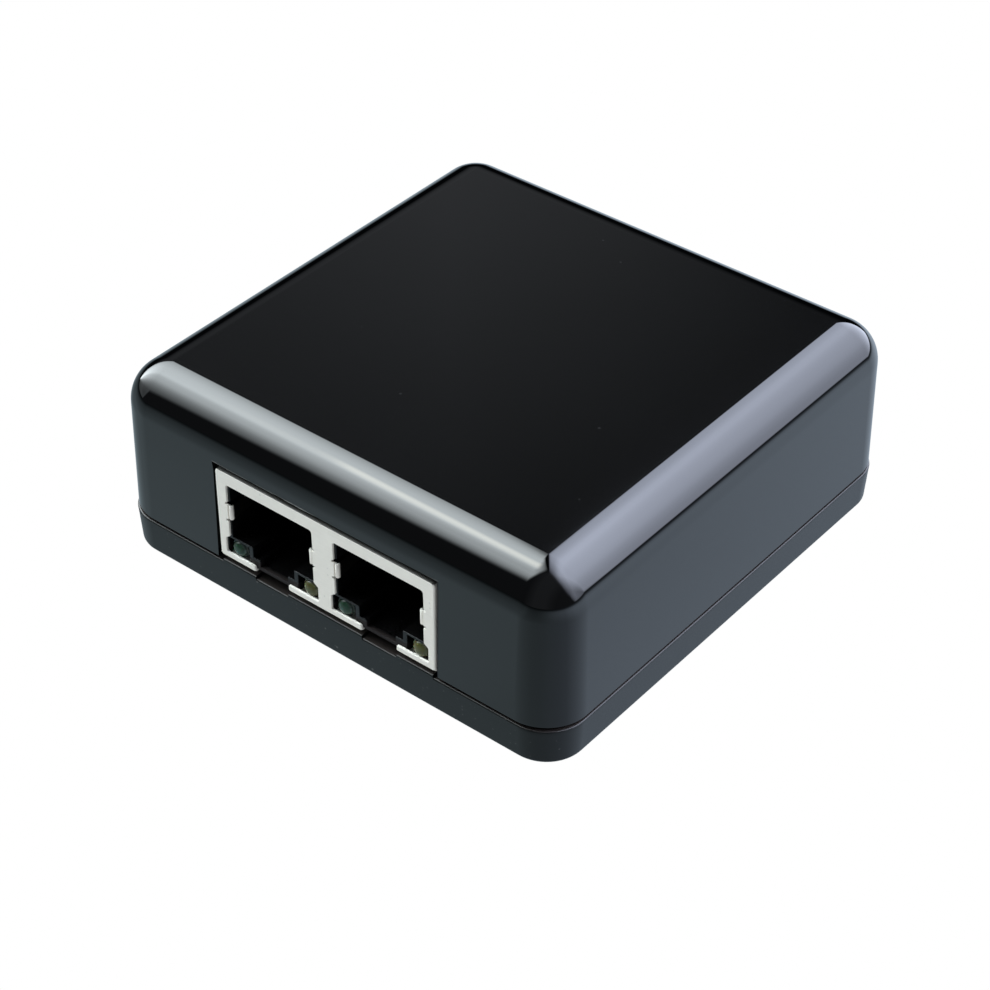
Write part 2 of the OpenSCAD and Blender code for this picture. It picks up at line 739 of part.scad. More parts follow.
module capacitor_bung(radius, lead_x) {
  difference() {
    cylinder(r = radius - 0.95, h = 2);
    for (side = sides) translate([side * lead_x, 0, -over]) cylinder(r = 0.32, h = through);
  }
}

module capacitor_bungs() {
  color("#2c2c2c") for (cap = capacitors) on_board(cap[0]) capacitor_bung(cap[1], cap[3]);
}

module capacitor_rolls() {
  color("#c9b88a") for (cap = capacitors) on_board(cap[0])
    translate([0, 0, 2.3]) cylinder(r = cap[1] - 0.6, h = cap[2] - 2.8);
}

module capacitor_leads() {
  color(steel) for (cap = capacitors) for (side = sides)
    on_board(cap[0] + [side * cap[3], 0]) translate([0, 0, -2.4]) cylinder(r = 0.3, h = 4.6);
}

module power_transistor() { color(moulding) on_board(transistor) raised_box([6.6, 6, 2], 0.35); }

// Tab under the body, reaching out behind it, and two leads in front
module transistor_tab() {
  color(steel) on_board(transistor) {
    translate([-2.7, -2.5, 0]) cube([5.4, 6.6, 0.3]);
    for (side = sides) translate([side * 2.29, -3.02, 0]) rotate([0, 0, 180])
      gull_lead(0.8, 2.2, 1.2, 0.4);
  }
}

diode_l = 4.4;                           // body length between the leads

module schottky_diode() { color(moulding) on_board(schottky) raised_box([diode_l, 3.6, 2.1], 0.2); }
module surge_diode() { color(moulding) on_board(surge) raised_box([3.6, diode_l, 2.1], 0.2); }

module diode_leads() {
  color(steel) {
    on_board(schottky) rotate([0, 0, 90]) lead_rows(1, 1, 2, diode_l, 0.9, 1.1);
    on_board(surge) lead_rows(1, 1, 2, diode_l, 0.9, 1.1);
  }
}

// Box with four small upright grooves in its long sides
module input_fuse() {
  width = 2.7;
  color("#d8d4c8") on_board(fuse) difference() {
    raised_box([width, 6.1, 2.7], 0);
    for (x = sides) for (y = sides)
      translate([x * width / 2, y * 1.6, -over]) cylinder(r = 0.12, h = 5);
  }
}

module choke_core() {
  color("#33463a") on_board(choke) translate([0, 0, 0.6])
    rotate_extrude() translate([1.9, 0]) square([2.1, 3]);
}

// Square turns round the ring, five on each side
module choke_windings() {
  color(copper) on_board(choke) for (half = [0, 180]) for (i = [-2:2])
    rotate([0, 0, half + i * 26]) difference() {
      block([1.42, -0.22, 0.1], [4.48, 0.22, 4.1]);
      block([1.84, -over, 0.52], [4.06, over, 3.68]);
    }
}

// Controller body with a dimple in its top, for the given number of leads on each side
module soic(pins) {
  half = pins * lead_pitch / 2;
  difference() {
    raised_box([2 * half + 0.2, soic_d, 1.4], 0.2);
    translate([-half + 0.5, -1.3, 1.45]) cylinder(r = 0.3, h = 1);
  }
}

module soic_leads(pins) { lead_rows(pins, lead_pitch, 0.4, soic_d, 1.05, 0.95); }

module poe_controller() { color(moulding) on_board(poe_chip) rotate([0, 0, 90]) soic(poe_pins); }
module boost_controller() { color(moulding) on_board(boost_chip) rotate([0, 0, 90]) soic(boost_pins); }

module controller_leads() {
  color(steel) {
    on_board(poe_chip) rotate([0, 0, 90]) soic_leads(poe_pins);
    on_board(boost_chip) rotate([0, 0, 90]) soic_leads(boost_pins);
  }
}

// Surface-mount chips; columns: count, first middle, step, turn, [length, width, height]
resistor = [2, 1.25, 0.5];
small_cap = [2, 1.6, 0.9];
resistor_rows = [
  [4, [-25, -26.2], [0, 2.6], 0, resistor],
  [4, [18.5, -23], [2.3, 0], 90, resistor],
  [3, [2.2, 5.6], [2.9, 0], 0, resistor],
];
chip_cap_rows = [
  [3, [-19, -25], [0, 2.8], 0, small_cap],
  [3, [18.8, -18.4], [2.6, 0], 90, small_cap],
  [3, [-24.5, 25], [3, 0], 0, small_cap],
  [2, [23.6, 20.5], [0, 3], 0, [3.2, 2.5, 1.6]],
];

// A plain body with its two end caps as one sintered piece
module chip(size) {
  cap_l = 0.4;
  raised_box([size.x - 0.6, size.y - 0.06, size.z - 0.06], 0.03);
  for (side = sides) translate([side * (size.x - cap_l) / 2, 0, 0])
    raised_box([cap_l, size.y, size.z], 0);
}

module chip_rows(rows) {
  for (row = rows) for (i = [0:row[0] - 1])
    on_board(row[1] + i * row[2]) rotate([0, 0, row[3]]) chip(row[4]);
}

module chip_resistors() { color("#101112") chip_rows(resistor_rows); }
module chip_capacitors() { color("#a98a62") chip_rows(chip_cap_rows); }

top_cover();
base_plate();
case_screws();
rubber_feet();
rating_label();
circuit_board();
jack_shield();
jack_shield_back();
jack_housing();
port_1_contact_carrier();
port_2_contact_carrier();
port_1_contact_tails();
port_2_contact_tails();
port_1_contact_springs();
port_2_contact_springs();
port_1_left_ground_finger();
port_1_right_ground_finger();
port_2_left_ground_finger();
port_2_right_ground_finger();
port_1_green_led();
port_1_yellow_led();
port_2_green_led();
port_2_yellow_led();
led_leads();
dc_jack_housing();
dc_jack_center_pin();
dc_jack_pin_terminal();
dc_jack_sleeve_spring();
dc_jack_sleeve_terminal();
dc_jack_switch_contact();
lan_transformers();
lan_transformer_leads();
inductor_core();
inductor_winding();
capacitor_cans();
capacitor_sleeves();
capacitor_bungs();
capacitor_rolls();
capacitor_leads();
power_transistor();
transistor_tab();
schottky_diode();
surge_diode();
diode_leads();
input_fuse();
choke_core();
choke_windings();
poe_controller();
boost_controller();
controller_leads();
chip_resistors();
chip_capacitors();
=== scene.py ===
"""Small square network box: a polished black cover over a satin base, with two network jacks
side by side at the front and a smaller window at the rear.

The case is centred on the Z axis and stands on z = 0. Front is -Y and +X is the right of
somebody facing the front. Shapes are given in millimetres above the underside of the case,
which the rubber feet raise by LIFT. Shader lengths are in metres.
"""

import bpy
import bmesh
import math
import numpy as np
from mathutils import Matrix, Vector


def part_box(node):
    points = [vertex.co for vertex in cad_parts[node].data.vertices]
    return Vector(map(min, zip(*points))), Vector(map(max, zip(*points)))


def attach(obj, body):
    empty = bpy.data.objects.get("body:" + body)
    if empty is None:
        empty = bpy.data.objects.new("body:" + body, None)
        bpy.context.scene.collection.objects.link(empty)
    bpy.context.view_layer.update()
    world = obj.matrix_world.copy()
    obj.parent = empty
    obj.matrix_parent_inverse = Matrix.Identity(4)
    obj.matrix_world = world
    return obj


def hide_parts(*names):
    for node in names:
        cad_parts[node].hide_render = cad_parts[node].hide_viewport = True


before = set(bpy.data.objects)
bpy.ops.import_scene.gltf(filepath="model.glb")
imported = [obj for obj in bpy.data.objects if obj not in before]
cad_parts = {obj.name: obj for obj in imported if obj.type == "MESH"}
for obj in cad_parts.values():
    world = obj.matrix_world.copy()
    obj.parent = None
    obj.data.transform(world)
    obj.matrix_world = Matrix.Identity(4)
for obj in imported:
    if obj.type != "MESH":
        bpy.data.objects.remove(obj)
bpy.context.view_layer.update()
scene = bpy.context.scene


# ------------------------------------------------------------------ shared measures
def box_mm(node):
    low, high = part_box(node)
    return [1000 * v for v in low], [1000 * v for v in high]


cover_high = box_mm("top_cover")[1]
shield_low, shield_high = box_mm("jack_shield")
LIFT = box_mm("base_plate")[0][2]

HALF = cover_high[0]                     # half the width of the case
ROOF = cover_high[2] - LIFT
COVER_Z = 5.0                            # lower edge of the cover
COVER_CORNER_R = 5.3
COVER_CORNER_AXIS = HALF - COVER_CORNER_R
BASE_CORNER_AXIS = HALF - 4.9
RIM = 4.65                               # top of the base wall

FACE_Y = shield_low[1]                   # front of the metal shield
JACK_Z = 5.57                            # lower edge of the shield
JACK_TOP = shield_high[2] - LIFT
PORT_X = 7.62                            # centre of a port, either side of the middle
PORTS = ((1, -PORT_X), (2, PORT_X))
FINGER_SLOT = (JACK_Z + 5.5, JACK_Z + 7.46)      # heights of the slots for the spring fingers
INDICATOR_X = 5.2                        # green to the left of the port centre, yellow right
INDICATOR_Z = 7.05
INDICATOR_R = 1.15

SCREWS = [(side * 24.4, y) for side in (-1, 1) for y in (-13.0, 14.0)]
FEET = [(side * 23.6, end * 23.6) for side in (-1, 1) for end in (-1, 1)]
QUARTER_TURNS = [(1, 0), (0, 1), (-1, 0), (0, -1)]     # cosine, sine: front, right, rear, left
AXIS_R = 0.0001                          # radius that closes a turned shape at its axis


# ------------------------------------------------------------------ mesh tools
def sweep(first, last, steps):
    """Evenly spaced angles in radians, both ends included, from degrees."""
    return [math.radians(first + (last - first) * k / steps) for k in range(steps + 1)]


def quarter_turn(x, y, side):
    cosine, sine = QUARTER_TURNS[side]
    return x * cosine - y * sine, x * sine + y * cosine


def along(a, b, height, axis):
    """Point of a flat figure (a, b) at a height along the Z or the Y axis."""
    return (a, b, height) if axis == "z" else (a, height, b)


class Shape:
    """Collects points and faces in millimetres."""

    def __init__(self):
        self.points, self.faces = [], []

    def add(self, points, faces):
        start = len(self.points)
        self.points += [tuple(p) for p in points]
        self.faces += [tuple(i + start for i in face) for face in faces]

    def loft(self, rings, loop=False):
        """Skins the rings in order. A loop joins the last to the first, otherwise both are capped."""
        count = len(rings[0])
        faces = []
        for k in range(len(rings) if loop else len(rings) - 1):
            low, high = k * count, (k + 1) % len(rings) * count
            for i in range(count):
                j = (i + 1) % count
                faces.append((low + i, low + j, high + j, high + i))
        if not loop:
            faces.append(tuple(range(count - 1, -1, -1)))
            faces.append(tuple((len(rings) - 1) * count + i for i in range(count)))
        self.add([p for ring in rings for p in ring], faces)

    def box(self, low, high):
        (x0, y0, z0), (x1, y1, z1) = low, high
        self.loft([[(x0, y0, z), (x1, y0, z), (x1, y1, z), (x0, y1, z)] for z in (z0, z1)])

    def soft_box(self, low, high, radius, steps=2):
        """Box whose upright and level edges are rounded."""
        (x0, y0, z0), (x1, y1, z1) = low, high
        corners = [(x1 - radius, y0 + radius, -90), (x1 - radius, y1 - radius, 0),
                   (x0 + radius, y1 - radius, 90), (x0 + radius, y0 + radius, 180)]
        levels = [(z0 + radius, -1, t) for t in sweep(90, 0, steps)]
        levels += [(z1 - radius, 1, t) for t in sweep(0, 90, steps)]
        rings = []
        for centre_z, end, tilt in levels:
            reach = max(radius - radius * (1 - math.cos(tilt)), 1e-4)
            z = centre_z + end * radius * math.sin(tilt)
            rings.append([(x + reach * math.cos(w), y + reach * math.sin(w), z)
                          for x, y, first in corners for w in sweep(first, first + 90, steps)])
        self.loft(rings)

    def lathe(self, profile, origin, segments, axis="z", loop=True):
        """Turns (radius, height) points. A looped profile gives a ring, an open one is capped."""
        rings = []
        for radius, height in profile:
            ring = []
            for i in range(segments):
                w = 2 * math.pi * i / segments
                point = along(radius * math.cos(w), radius * math.sin(w), height, axis)
                ring.append(tuple(o + p for o, p in zip(origin, point)))
            rings.append(ring)
        self.loft(rings, loop)

    def prism(self, outline, start, end, axis="z"):
        self.loft([[along(a, b, height, axis) for a, b in outline] for height in (start, end)])

    def build(self, name, lift=LIFT):
        mesh = bpy.data.meshes.new(name)
        points = [(x / 1000, y / 1000, (z + lift) / 1000) for x, y, z in self.points]
        mesh.from_pydata(points, [], self.faces)
        mesh.update()
        ob = bpy.data.objects.new(name, mesh)
        scene.collection.objects.link(ob)
        return ob


def weigh(ob):
    weighted = ob.modifiers.new("weighted", "WEIGHTED_NORMAL")
    weighted.mode = "FACE_AREA"
    weighted.weight = 50
    weighted.keep_sharp = True


def tidy(ob, sharp=38, weight=True):
    """Merges doubled points, turns faces outwards and smooths all edges below the sharp angle."""
    bm = bmesh.new()
    bm.from_mesh(ob.data)
    bmesh.ops.remove_doubles(bm, verts=bm.verts, dist=2e-7)
    bmesh.ops.dissolve_degenerate(bm, dist=1e-8, edges=bm.edges)
    bmesh.ops.recalc_face_normals(bm, faces=bm.faces)
    for face in bm.faces:
        face.smooth = True
    for edge in bm.edges:
        hard = len(edge.link_faces) == 2 and edge.calc_face_angle(0) > math.radians(sharp)
        edge.smooth = not hard
    bm.to_mesh(ob.data)
    bm.free()
    if weight:
        weigh(ob)
    return ob


def bevel_edges(ob, pick, width, segments):
    """Rounds the edges that pick(a, b) accepts, where a and b are the ends in millimetres."""
    bm = bmesh.new()
    bm.from_mesh(ob.data)
    bmesh.ops.remove_doubles(bm, verts=bm.verts, dist=2e-7)
    chosen = []
    for edge in bm.edges:
        a, b = [(v.co.x * 1000, v.co.y * 1000, v.co.z * 1000 - LIFT) for v in edge.verts]
        if pick(a, b):
            chosen.append(edge)
    bmesh.ops.bevel(bm, geom=chosen, offset=width / 1000, segments=segments, profile=0.5,
                    affect="EDGES", clamp_overlap=True)
    bm.to_mesh(ob.data)
    bm.free()


def subtract(ob, cutter):
    cut = ob.modifiers.new("cut", "BOOLEAN")
    cut.operation = "DIFFERENCE"
    cut.solver = "EXACT"
    cut.object = cutter
    depsgraph = bpy.context.evaluated_depsgraph_get()
    mesh = bpy.data.meshes.new_from_object(ob.evaluated_get(depsgraph))
    ob.modifiers.clear()
    ob.data = mesh
    bpy.data.objects.remove(cutter)


def join(ob, other):
    bm = bmesh.new()
    bm.from_mesh(ob.data)
    bm.from_mesh(other.data)
    bm.to_mesh(ob.data)
    bm.free()
    bpy.data.objects.remove(other)


def perimeter(centre, radius, z, columns, steps, front_rise=None):
    """Points round a rounded square, front first. front_rise(x) raises points of the front side."""
    least = 0.02                         # keeps the points of a corner apart
    if radius < least:
        centre, radius = centre + radius - least, least
        columns = [max(-centre, min(centre, x)) for x in columns]
    points = []
    for side in range(4):
        for x in columns:
            rise = front_rise(x) if side == 0 and front_rise else 0
            points.append((*quarter_turn(x, -(centre + radius), side), z + rise))
        for w in sweep(-90, 0, steps)[1:-1]:
            x, y = centre + radius * math.cos(w), -centre + radius * math.sin(w)
            points.append((*quarter_turn(x, y, side), z))
    return points


def round_outline(corners, steps=6):
    """Flat outline with rounded corners, from (x, z, radius) of each corner."""
    outline = []
    for i, (x, z, radius) in enumerate(corners):
        corner = np.array([x, z], float)
        before = np.array(corners[i - 1][:2], float) - corner
        after = np.array(corners[(i + 1) % len(corners)][:2], float) - corner
        before_length, after_length = np.linalg.norm(before), np.linalg.norm(after)
        u, v = before / before_length, after / after_length
        half = math.acos(max(-1, min(1, float(u @ v)))) / 2
        if radius <= 0 or half > math.radians(89):
            outline.append((x, z))
            continue
        # where the arc meets the sides, kept to just under half of each side
        tangent = min(radius / math.tan(half), 0.48 * before_length, 0.48 * after_length)
        fitted = tangent * math.tan(half)
        centre = corner + (u + v) / np.linalg.norm(u + v) * fitted / math.sin(half)
        first = math.atan2(*(corner + u * tangent - centre)[::-1])
        last = math.atan2(*(corner + v * tangent - centre)[::-1])
        turn = (last - first + math.pi) % (2 * math.pi) - math.pi
        for j in range(steps + 1):
            w = first + turn * j / steps
            outline.append((centre[0] + fitted * math.cos(w), centre[1] + fitted * math.sin(w)))
    return outline


def inset_outline(outline, amounts):
    """Moves each point of a counter-clockwise outline inwards by its own amount."""
    def normals(steps):
        steps = steps / np.maximum(np.linalg.norm(steps, axis=1), 1e-12)[:, None]
        return np.stack([-steps[:, 1], steps[:, 0]], 1)

    points = np.array(outline, float)
    before = normals(points - np.roll(points, 1, 0))
    after = normals(np.roll(points, -1, 0) - points)
    mitre = before + after
    mitre /= np.maximum(np.linalg.norm(mitre, axis=1), 1e-9)[:, None]
    stretch = 1 / np.maximum((mitre * before).sum(1), 0.5)
    return [tuple(p) for p in points + mitre * (stretch * amounts)[:, None]]


# ------------------------------------------------------------------ shader tools
class Signal:
    """A socket of a node tree, with arithmetic that adds nodes."""

    def __init__(self, graph, socket):
        self.graph, self.socket = graph, socket

    def math(self, operation, *others):
        inputs = dict(enumerate((self,) + others))
        return self.graph.signal("ShaderNodeMath", 0, inputs, operation=operation)

    def __add__(self, other):
        return self.math("ADD", other)

    def __sub__(self, other):
        return self.math("SUBTRACT", other)

    def __rsub__(self, other):
        return (self * -1) + other

    def __mul__(self, other):
        return self.math("MULTIPLY", other)

    def below(self, limit):
        return self.math("LESS_THAN", limit)

    def above(self, limit):
        return self.math("GREATER_THAN", limit)

    def absolute(self):
        return self.math("ABSOLUTE")

    def most(self, other):
        return self.math("MAXIMUM", other)

    def smooth(self, start, end):
        """Eased rise from 0 at start to 1 at end."""
        return self.graph.signal("ShaderNodeMapRange", 0, {0: self, 1: start, 2: end},
                                 interpolation_type="SMOOTHSTEP")

    def steps(self, points):
        """Straight lines between (position, value) points, level outside them."""
        low, high = points[0][0], points[-1][0]
        top = max(value for _, value in points)
        share = self.graph.signal("ShaderNodeMapRange", 0, {0: self, 1: low, 2: high}, clamp=True)
        ramp = self.graph.node("ShaderNodeValToRGB", {0: share})
        elements = ramp.color_ramp.elements
        for element, position, (_, value) in zip(elements, (0.0, 1.0), (points[0], points[-1])):
            element.position = position
            element.color = (value / top,) * 3 + (1,)
        for position, value in points[1:-1]:
            element = elements.new((position - low) / (high - low))
            element.color = (value / top,) * 3 + (1,)
        return Signal(self.graph, ramp.outputs[0]) * top


class Graph:
    """The emptied node tree of a material or world, with the patterns that they share."""

    def __init__(self, owner):
        owner.use_nodes = True
        self.owner, self.tree = owner, owner.node_tree
        self.tree.nodes.clear()

    def node(self, kind, inputs=None, **settings):
        new = self.tree.nodes.new(kind)
        for name, value in settings.items():
            setattr(new, name, value)
        for key, value in (inputs or {}).items():
            socket = new.inputs[key]
            if isinstance(value, Signal):
                self.tree.links.new(value.socket, socket)
            elif socket.type == "RGBA":
                socket.default_value = (*value, 1)
            else:
                socket.default_value = value
        return new

    def signal(self, kind, output, inputs=None, **settings):
        return Signal(self, self.node(kind, inputs, **settings).outputs[output])

    def coords(self, scale=None):
        """Object coordinates in metres, or stretched by a scale for each axis."""
        point = self.signal("ShaderNodeTexCoord", "Object")
        if scale:
            point = self.signal("ShaderNodeMapping", 0, {"Vector": point, "Scale": scale})
        return point

    def axes(self, vector):
        parts = self.node("ShaderNodeSeparateXYZ", {0: vector})
        return [Signal(self, output) for output in parts.outputs]

    def facing_up(self):
        return self.axes(self.signal("ShaderNodeNewGeometry", "Normal"))[2]

    def noise(self, point, scale, detail=3.0, rough=0.55):
        return self.signal("ShaderNodeTexNoise", "Fac", {
            "Vector": point, "Scale": scale, "Detail": detail, "Roughness": rough})

    def cells(self, point, scale, channel):
        """Distance to the middle of a random cell, and one channel of its random colour."""
        cell = self.node("ShaderNodeTexVoronoi", {"Vector": point, "Scale": scale})
        colour = Signal(self, cell.outputs["Color"])
        pick = self.signal("ShaderNodeSeparateColor", channel, {0: colour})
        return Signal(self, cell.outputs["Distance"]), pick

    def dots(self, point, scale, share, size, seed=0.0):
        """Sparse specks: cells of 1/scale metres, the share that has one, its size in cells."""
        if seed:
            point = self.signal("ShaderNodeMapping", 0, {
                "Vector": point, "Location": (seed, seed * 1.7, seed * 0.6)})
        distance, pick = self.cells(point, scale, 0)
        near = distance.below(pick * size * 0.7 + size * 0.5)
        return near * pick.above(1 - share)

    def hairs(self, point, scale, stretch, width, share, angle):
        """Fine short scratches: a stretched cell pattern, cut off at a width."""
        stretched = self.signal("ShaderNodeMapping", 0, {
            "Vector": point, "Rotation": (0.3, 0.2, angle),
            "Scale": (scale * stretch, scale, scale)})
        distance, pick = self.cells(stretched, 1.0, 1)
        return distance.below(width) * pick.above(1 - share)

    def mix(self, share, first, second):
        return self.signal("ShaderNodeMix", 2, {0: share, 6: first, 7: second}, data_type="RGBA")

    def mix_light(self, share, first, second):
        return self.signal("ShaderNodeMix", 1, {0: share, 4: first, 5: second},
                           data_type="VECTOR")

    def finish(self, shader, kind="ShaderNodeOutputMaterial"):
        self.node(kind, {"Surface": shader})
        return self.owner

    def surface(self, colour, roughness, height, depth, extra=None):
        """Ends a material in a Principled shader. depth is that of the bump, in metres."""
        normal = self.signal("ShaderNodeBump", 0, {
            "Strength": 1.0, "Distance": depth, "Height": height})
        inputs = {"Base Color": colour, "Roughness": roughness, "Normal": normal}
        return self.finish(self.signal("ShaderNodeBsdfPrincipled", 0, inputs | (extra or {})))


def new_graph(name):
    return Graph(bpy.data.materials.new(name))


# ------------------------------------------------------------------ materials
# Factors on cloud, grain and similar patterns set how far each moves the value it is added to.
def simple_finish(name, colour, rough, vary, scale, metal=0.0, grain=2500.0, depth=4e-6,
                  ior=1.5, coat=0.0, specks=0.0, streaks=None, sheen=0.0):
    """Moulded, drawn or coated finish: vary is how much darker its second shade is, scale and
    grain the fineness of its clouds and its surface, specks the share of pale specks, and
    streaks the scale of drawn lines along each axis."""
    graph = new_graph(name)
    point = graph.coords()
    cloud = graph.noise(point, scale=scale, detail=4.0, rough=0.6)
    fine = graph.noise(point, scale=grain, detail=2.0, rough=0.6)
    if streaks:
        drawn = graph.noise(graph.coords(streaks), scale=1.0, detail=3.0, rough=0.6)
        cloud = cloud * 0.5 + drawn * 0.5
    darker = tuple(channel * (1 - vary) for channel in colour)
    contrast = (cloud + -0.35) * 3.3
    shade = graph.mix(contrast * 1.0, colour, darker)
    if specks:
        speck = graph.dots(point, scale=900, share=specks, size=0.16)
        shade = graph.mix(speck, shade, (0.35, 0.35, 0.36))
    return graph.surface(
        shade, roughness=(cloud + fine * 0.5 + -0.75) * 0.12 + rough,
        height=fine + cloud * 0.6, depth=depth,
        extra={"Metallic": metal, "IOR": ior, "Coat Weight": coat, "Coat Roughness": 0.1,
               "Sheen Weight": sheen})


def case_gloss():
    """Black moulded plastic polished like glass, with a little dust and a few scratches."""
    graph = new_graph("case_gloss")
    point = graph.coords()
    cloud = graph.noise(point, scale=60, detail=3.0, rough=0.5)
    ripple = graph.noise(point, scale=420, detail=2.0, rough=0.5)
    dust = graph.dots(point, scale=240, share=0.075, size=0.030) * 1.0
    fine_dust = graph.dots(point, scale=700, share=0.04, size=0.09, seed=0.37)
    fluff = graph.dots(point, scale=95, share=0.035, size=0.020, seed=1.1)
    scratch = graph.hairs(point, scale=260, stretch=0.16, width=0.018, share=0.06, angle=0.75)
    colour = graph.mix(cloud, (0.0002, 0.00022, 0.00025), (0.0005, 0.00055, 0.0006))
    colour = graph.mix(fine_dust * 0.015, colour, (0.4, 0.4, 0.38))
    colour = graph.mix(dust.most(fluff) * 0.16, colour, (0.5, 0.48, 0.44))
    colour = graph.mix(scratch * 0.10, colour, (0.6, 0.6, 0.6))
    return graph.surface(
        colour, roughness=cloud * 0.02 + 0.022 + scratch * 0.12 + dust * 0.4,
        height=ripple * 1.0 + scratch * -0.6, depth=1.1e-6, extra={"IOR": 1.5})


def case_base():
    """Black plastic with a satin moulded skin, dusty, and painted a lighter brown on the level top of
    its rim, a painted highlight.
    """
    graph = new_graph("case_base")
    point = graph.coords()
    cloud = graph.noise(point, scale=90, detail=4.0, rough=0.6)
    grain = graph.noise(point, scale=5200, detail=2.0, rough=0.7)
    dust = graph.dots(point, scale=620, share=0.16, size=0.085)
    haze = graph.dots(point, scale=1700, share=0.25, size=0.16, seed=0.21)
    colour = graph.mix(cloud, (0.0026, 0.0030, 0.0029), (0.0048, 0.0055, 0.0053))
    colour = graph.mix(haze * 0.05, colour, (0.5, 0.5, 0.48))
    colour = graph.mix(dust * 0.16, colour, (0.42, 0.42, 0.40))
    # painted highlight: the level top of the rim is painted a lighter brown where light catches its
    # edge
    level = graph.facing_up().smooth(0.6, 0.95)
    height = graph.axes(point)[2]
    at_rim = height.smooth((LIFT + RIM - 0.45) / 1000, (LIFT + RIM - 0.25) / 1000)
    colour = graph.mix(level * at_rim * (cloud * 0.4 + 0.7), colour, (0.026, 0.0215, 0.0195))
    return graph.surface(
        colour, roughness=cloud * 0.10 + grain * 0.08 + 0.24, height=grain, depth=2.2e-6,
        extra={"IOR": 1.48, "Specular IOR Level": 0.33})


def tin(name, depth_shade):
    """Tin-plated sheet: pale satin metal with drawn streaks and dull spots. Plain, its level top is
    painted dark, a painted shade. For the fingers it is painted dull dark brown where it runs back
    into the jack, a painted shade."""
    graph = new_graph(name)
    point = graph.coords()
    cloud = graph.noise(point, scale=420, detail=4.0, rough=0.6)
    drawn = graph.noise(graph.coords((260, 260, 5200)), scale=1.0, detail=3.0, rough=0.65)
    spots = graph.dots(point, scale=1500, share=0.10, size=0.16)
    colour = graph.mix((cloud + drawn + -0.7) * 1.6, (0.915, 0.895, 0.82), (0.845, 0.825, 0.755))
    colour = graph.mix(spots * 0.25, colour, (0.42, 0.42, 0.40))
    if depth_shade:
        # painted shade: the finger is painted dark where it runs back into the port, away from the
        # front
        y = graph.axes(point)[1]
        deep = y.smooth((FACE_Y + 0.26) / 1000, (FACE_Y + 0.50) / 1000)
        colour = graph.mix(deep, colour, (0.0045, 0.004, 0.0035))
        metallic = 0.0
        specular = deep * -0.48 + 0.5
    else:
        # painted shade: the level top of the shield is painted dark to hide a bright line along it
        level = graph.facing_up().smooth(0.35, 0.8)
        height = graph.axes(point)[2]
        at_top = height.smooth((LIFT + JACK_TOP - 0.25) / 1000, (LIFT + JACK_TOP - 0.15) / 1000)
        ledge_shade = level * at_top
        colour = graph.mix(ledge_shade * 0.97, colour, (0.075, 0.074, 0.068))
        metallic = ledge_shade * -0.12 + 0.12
        specular = ledge_shade * -0.45 + 0.5
    return graph.surface(
        colour, roughness=cloud * 0.14 + drawn * 0.10 + 0.46,
        height=drawn * 0.7 + cloud * 0.5, depth=2.5e-6,
        extra={"Metallic": metallic, "IOR": 1.4, "Specular IOR Level": specular})


def jack_black():
    """Black moulding of the network jack, with dust specks on a lip along its bottom front that is
    painted a lighter brown, painted light.
    """
    graph = new_graph("jack_plastic")
    point = graph.coords()
    cloud = graph.noise(point, scale=450, detail=4.0, rough=0.6)
    fine = graph.noise(point, scale=3600, detail=2.0, rough=0.6)
    height = graph.axes(point)[2]
    # painted light: the lip along the bottom front is painted a lighter brown that stands in for
    # light it lacks in its shade
    low = height.smooth((LIFT + JACK_Z + 1.55) / 1000, (LIFT + JACK_Z + 1.2) / 1000)
    ahead = graph.axes(point)[1].smooth((FACE_Y + 1.0) / 1000, (FACE_Y + 0.4) / 1000)
    painted_light_lip = low * ahead
    dust = graph.dots(point, scale=900, share=0.12, size=0.10)
    colour = graph.mix(cloud, (0.0022, 0.0022, 0.0024), (0.0036, 0.0036, 0.0038))
    colour = graph.mix(painted_light_lip * 0.9, colour, (0.022, 0.018, 0.0175))
    colour = graph.mix(dust * painted_light_lip * 0.10, colour, (0.30, 0.27, 0.24))
    return graph.surface(
        colour, roughness=cloud * 0.12 + painted_light_lip * 0.25 + 0.20, height=fine + cloud * 0.6, depth=3e-6,
        extra={"IOR": 1.42, "Specular IOR Level": painted_light_lip * -0.30 + 0.46})


def lens(name, offset, deep, glow, rim):
    """Tinted indicator lens, dark inside with a paler rim. offset is its place from its port."""
    graph = new_graph(name)
    point = graph.coords()
    x, _, z = graph.axes(point)
    distance = None
    for _, port_x in PORTS:
        dx, dz = x - (port_x + offset) / 1000, z - (INDICATOR_Z + LIFT) / 1000
        reach = (dx * dx + dz * dz).math("SQRT")
        distance = reach if distance is None else distance.math("MINIMUM", reach)
    edge = distance.smooth(INDICATOR_R * 0.70 / 1000, INDICATOR_R * 0.96 / 1000)
    cloud = graph.noise(point, scale=1400, detail=3.0, rough=0.6)
    colour = graph.mix(edge, graph.mix(cloud, deep, glow), rim)
    return graph.surface(
        colour, roughness=cloud * 0.12 + 0.12, height=cloud, depth=3e-6,
        extra={"Transmission Weight": 0.15, "Subsurface Weight": 0.2,
               "Subsurface Scale": 0.0005, "IOR": 1.53})


def board_green():
    """Circuit board: solder mask over glass weave, with copper shapes showing through."""
    graph = new_graph("board")
    point = graph.coords()
    weave = graph.signal("ShaderNodeTexChecker", "Fac", {"Vector": point, "Scale": 3200.0})
    traces = graph.signal("ShaderNodeTexBrick", "Color", {
        "Vector": point, "Scale": 260.0, "Mortar Size": 0.06, "Color1": (0.012, 0.10, 0.042),
        "Color2": (0.014, 0.115, 0.05), "Mortar": (0.03, 0.17, 0.075)})
    cloud = graph.noise(point, scale=300, detail=4.0)
    colour = graph.mix(cloud * 0.5, traces, (0.010, 0.075, 0.034))
    return graph.surface(colour, roughness=cloud * 0.15 + 0.25, height=weave * 0.3 + cloud,
                         depth=6e-6, extra={"Coat Weight": 0.4})


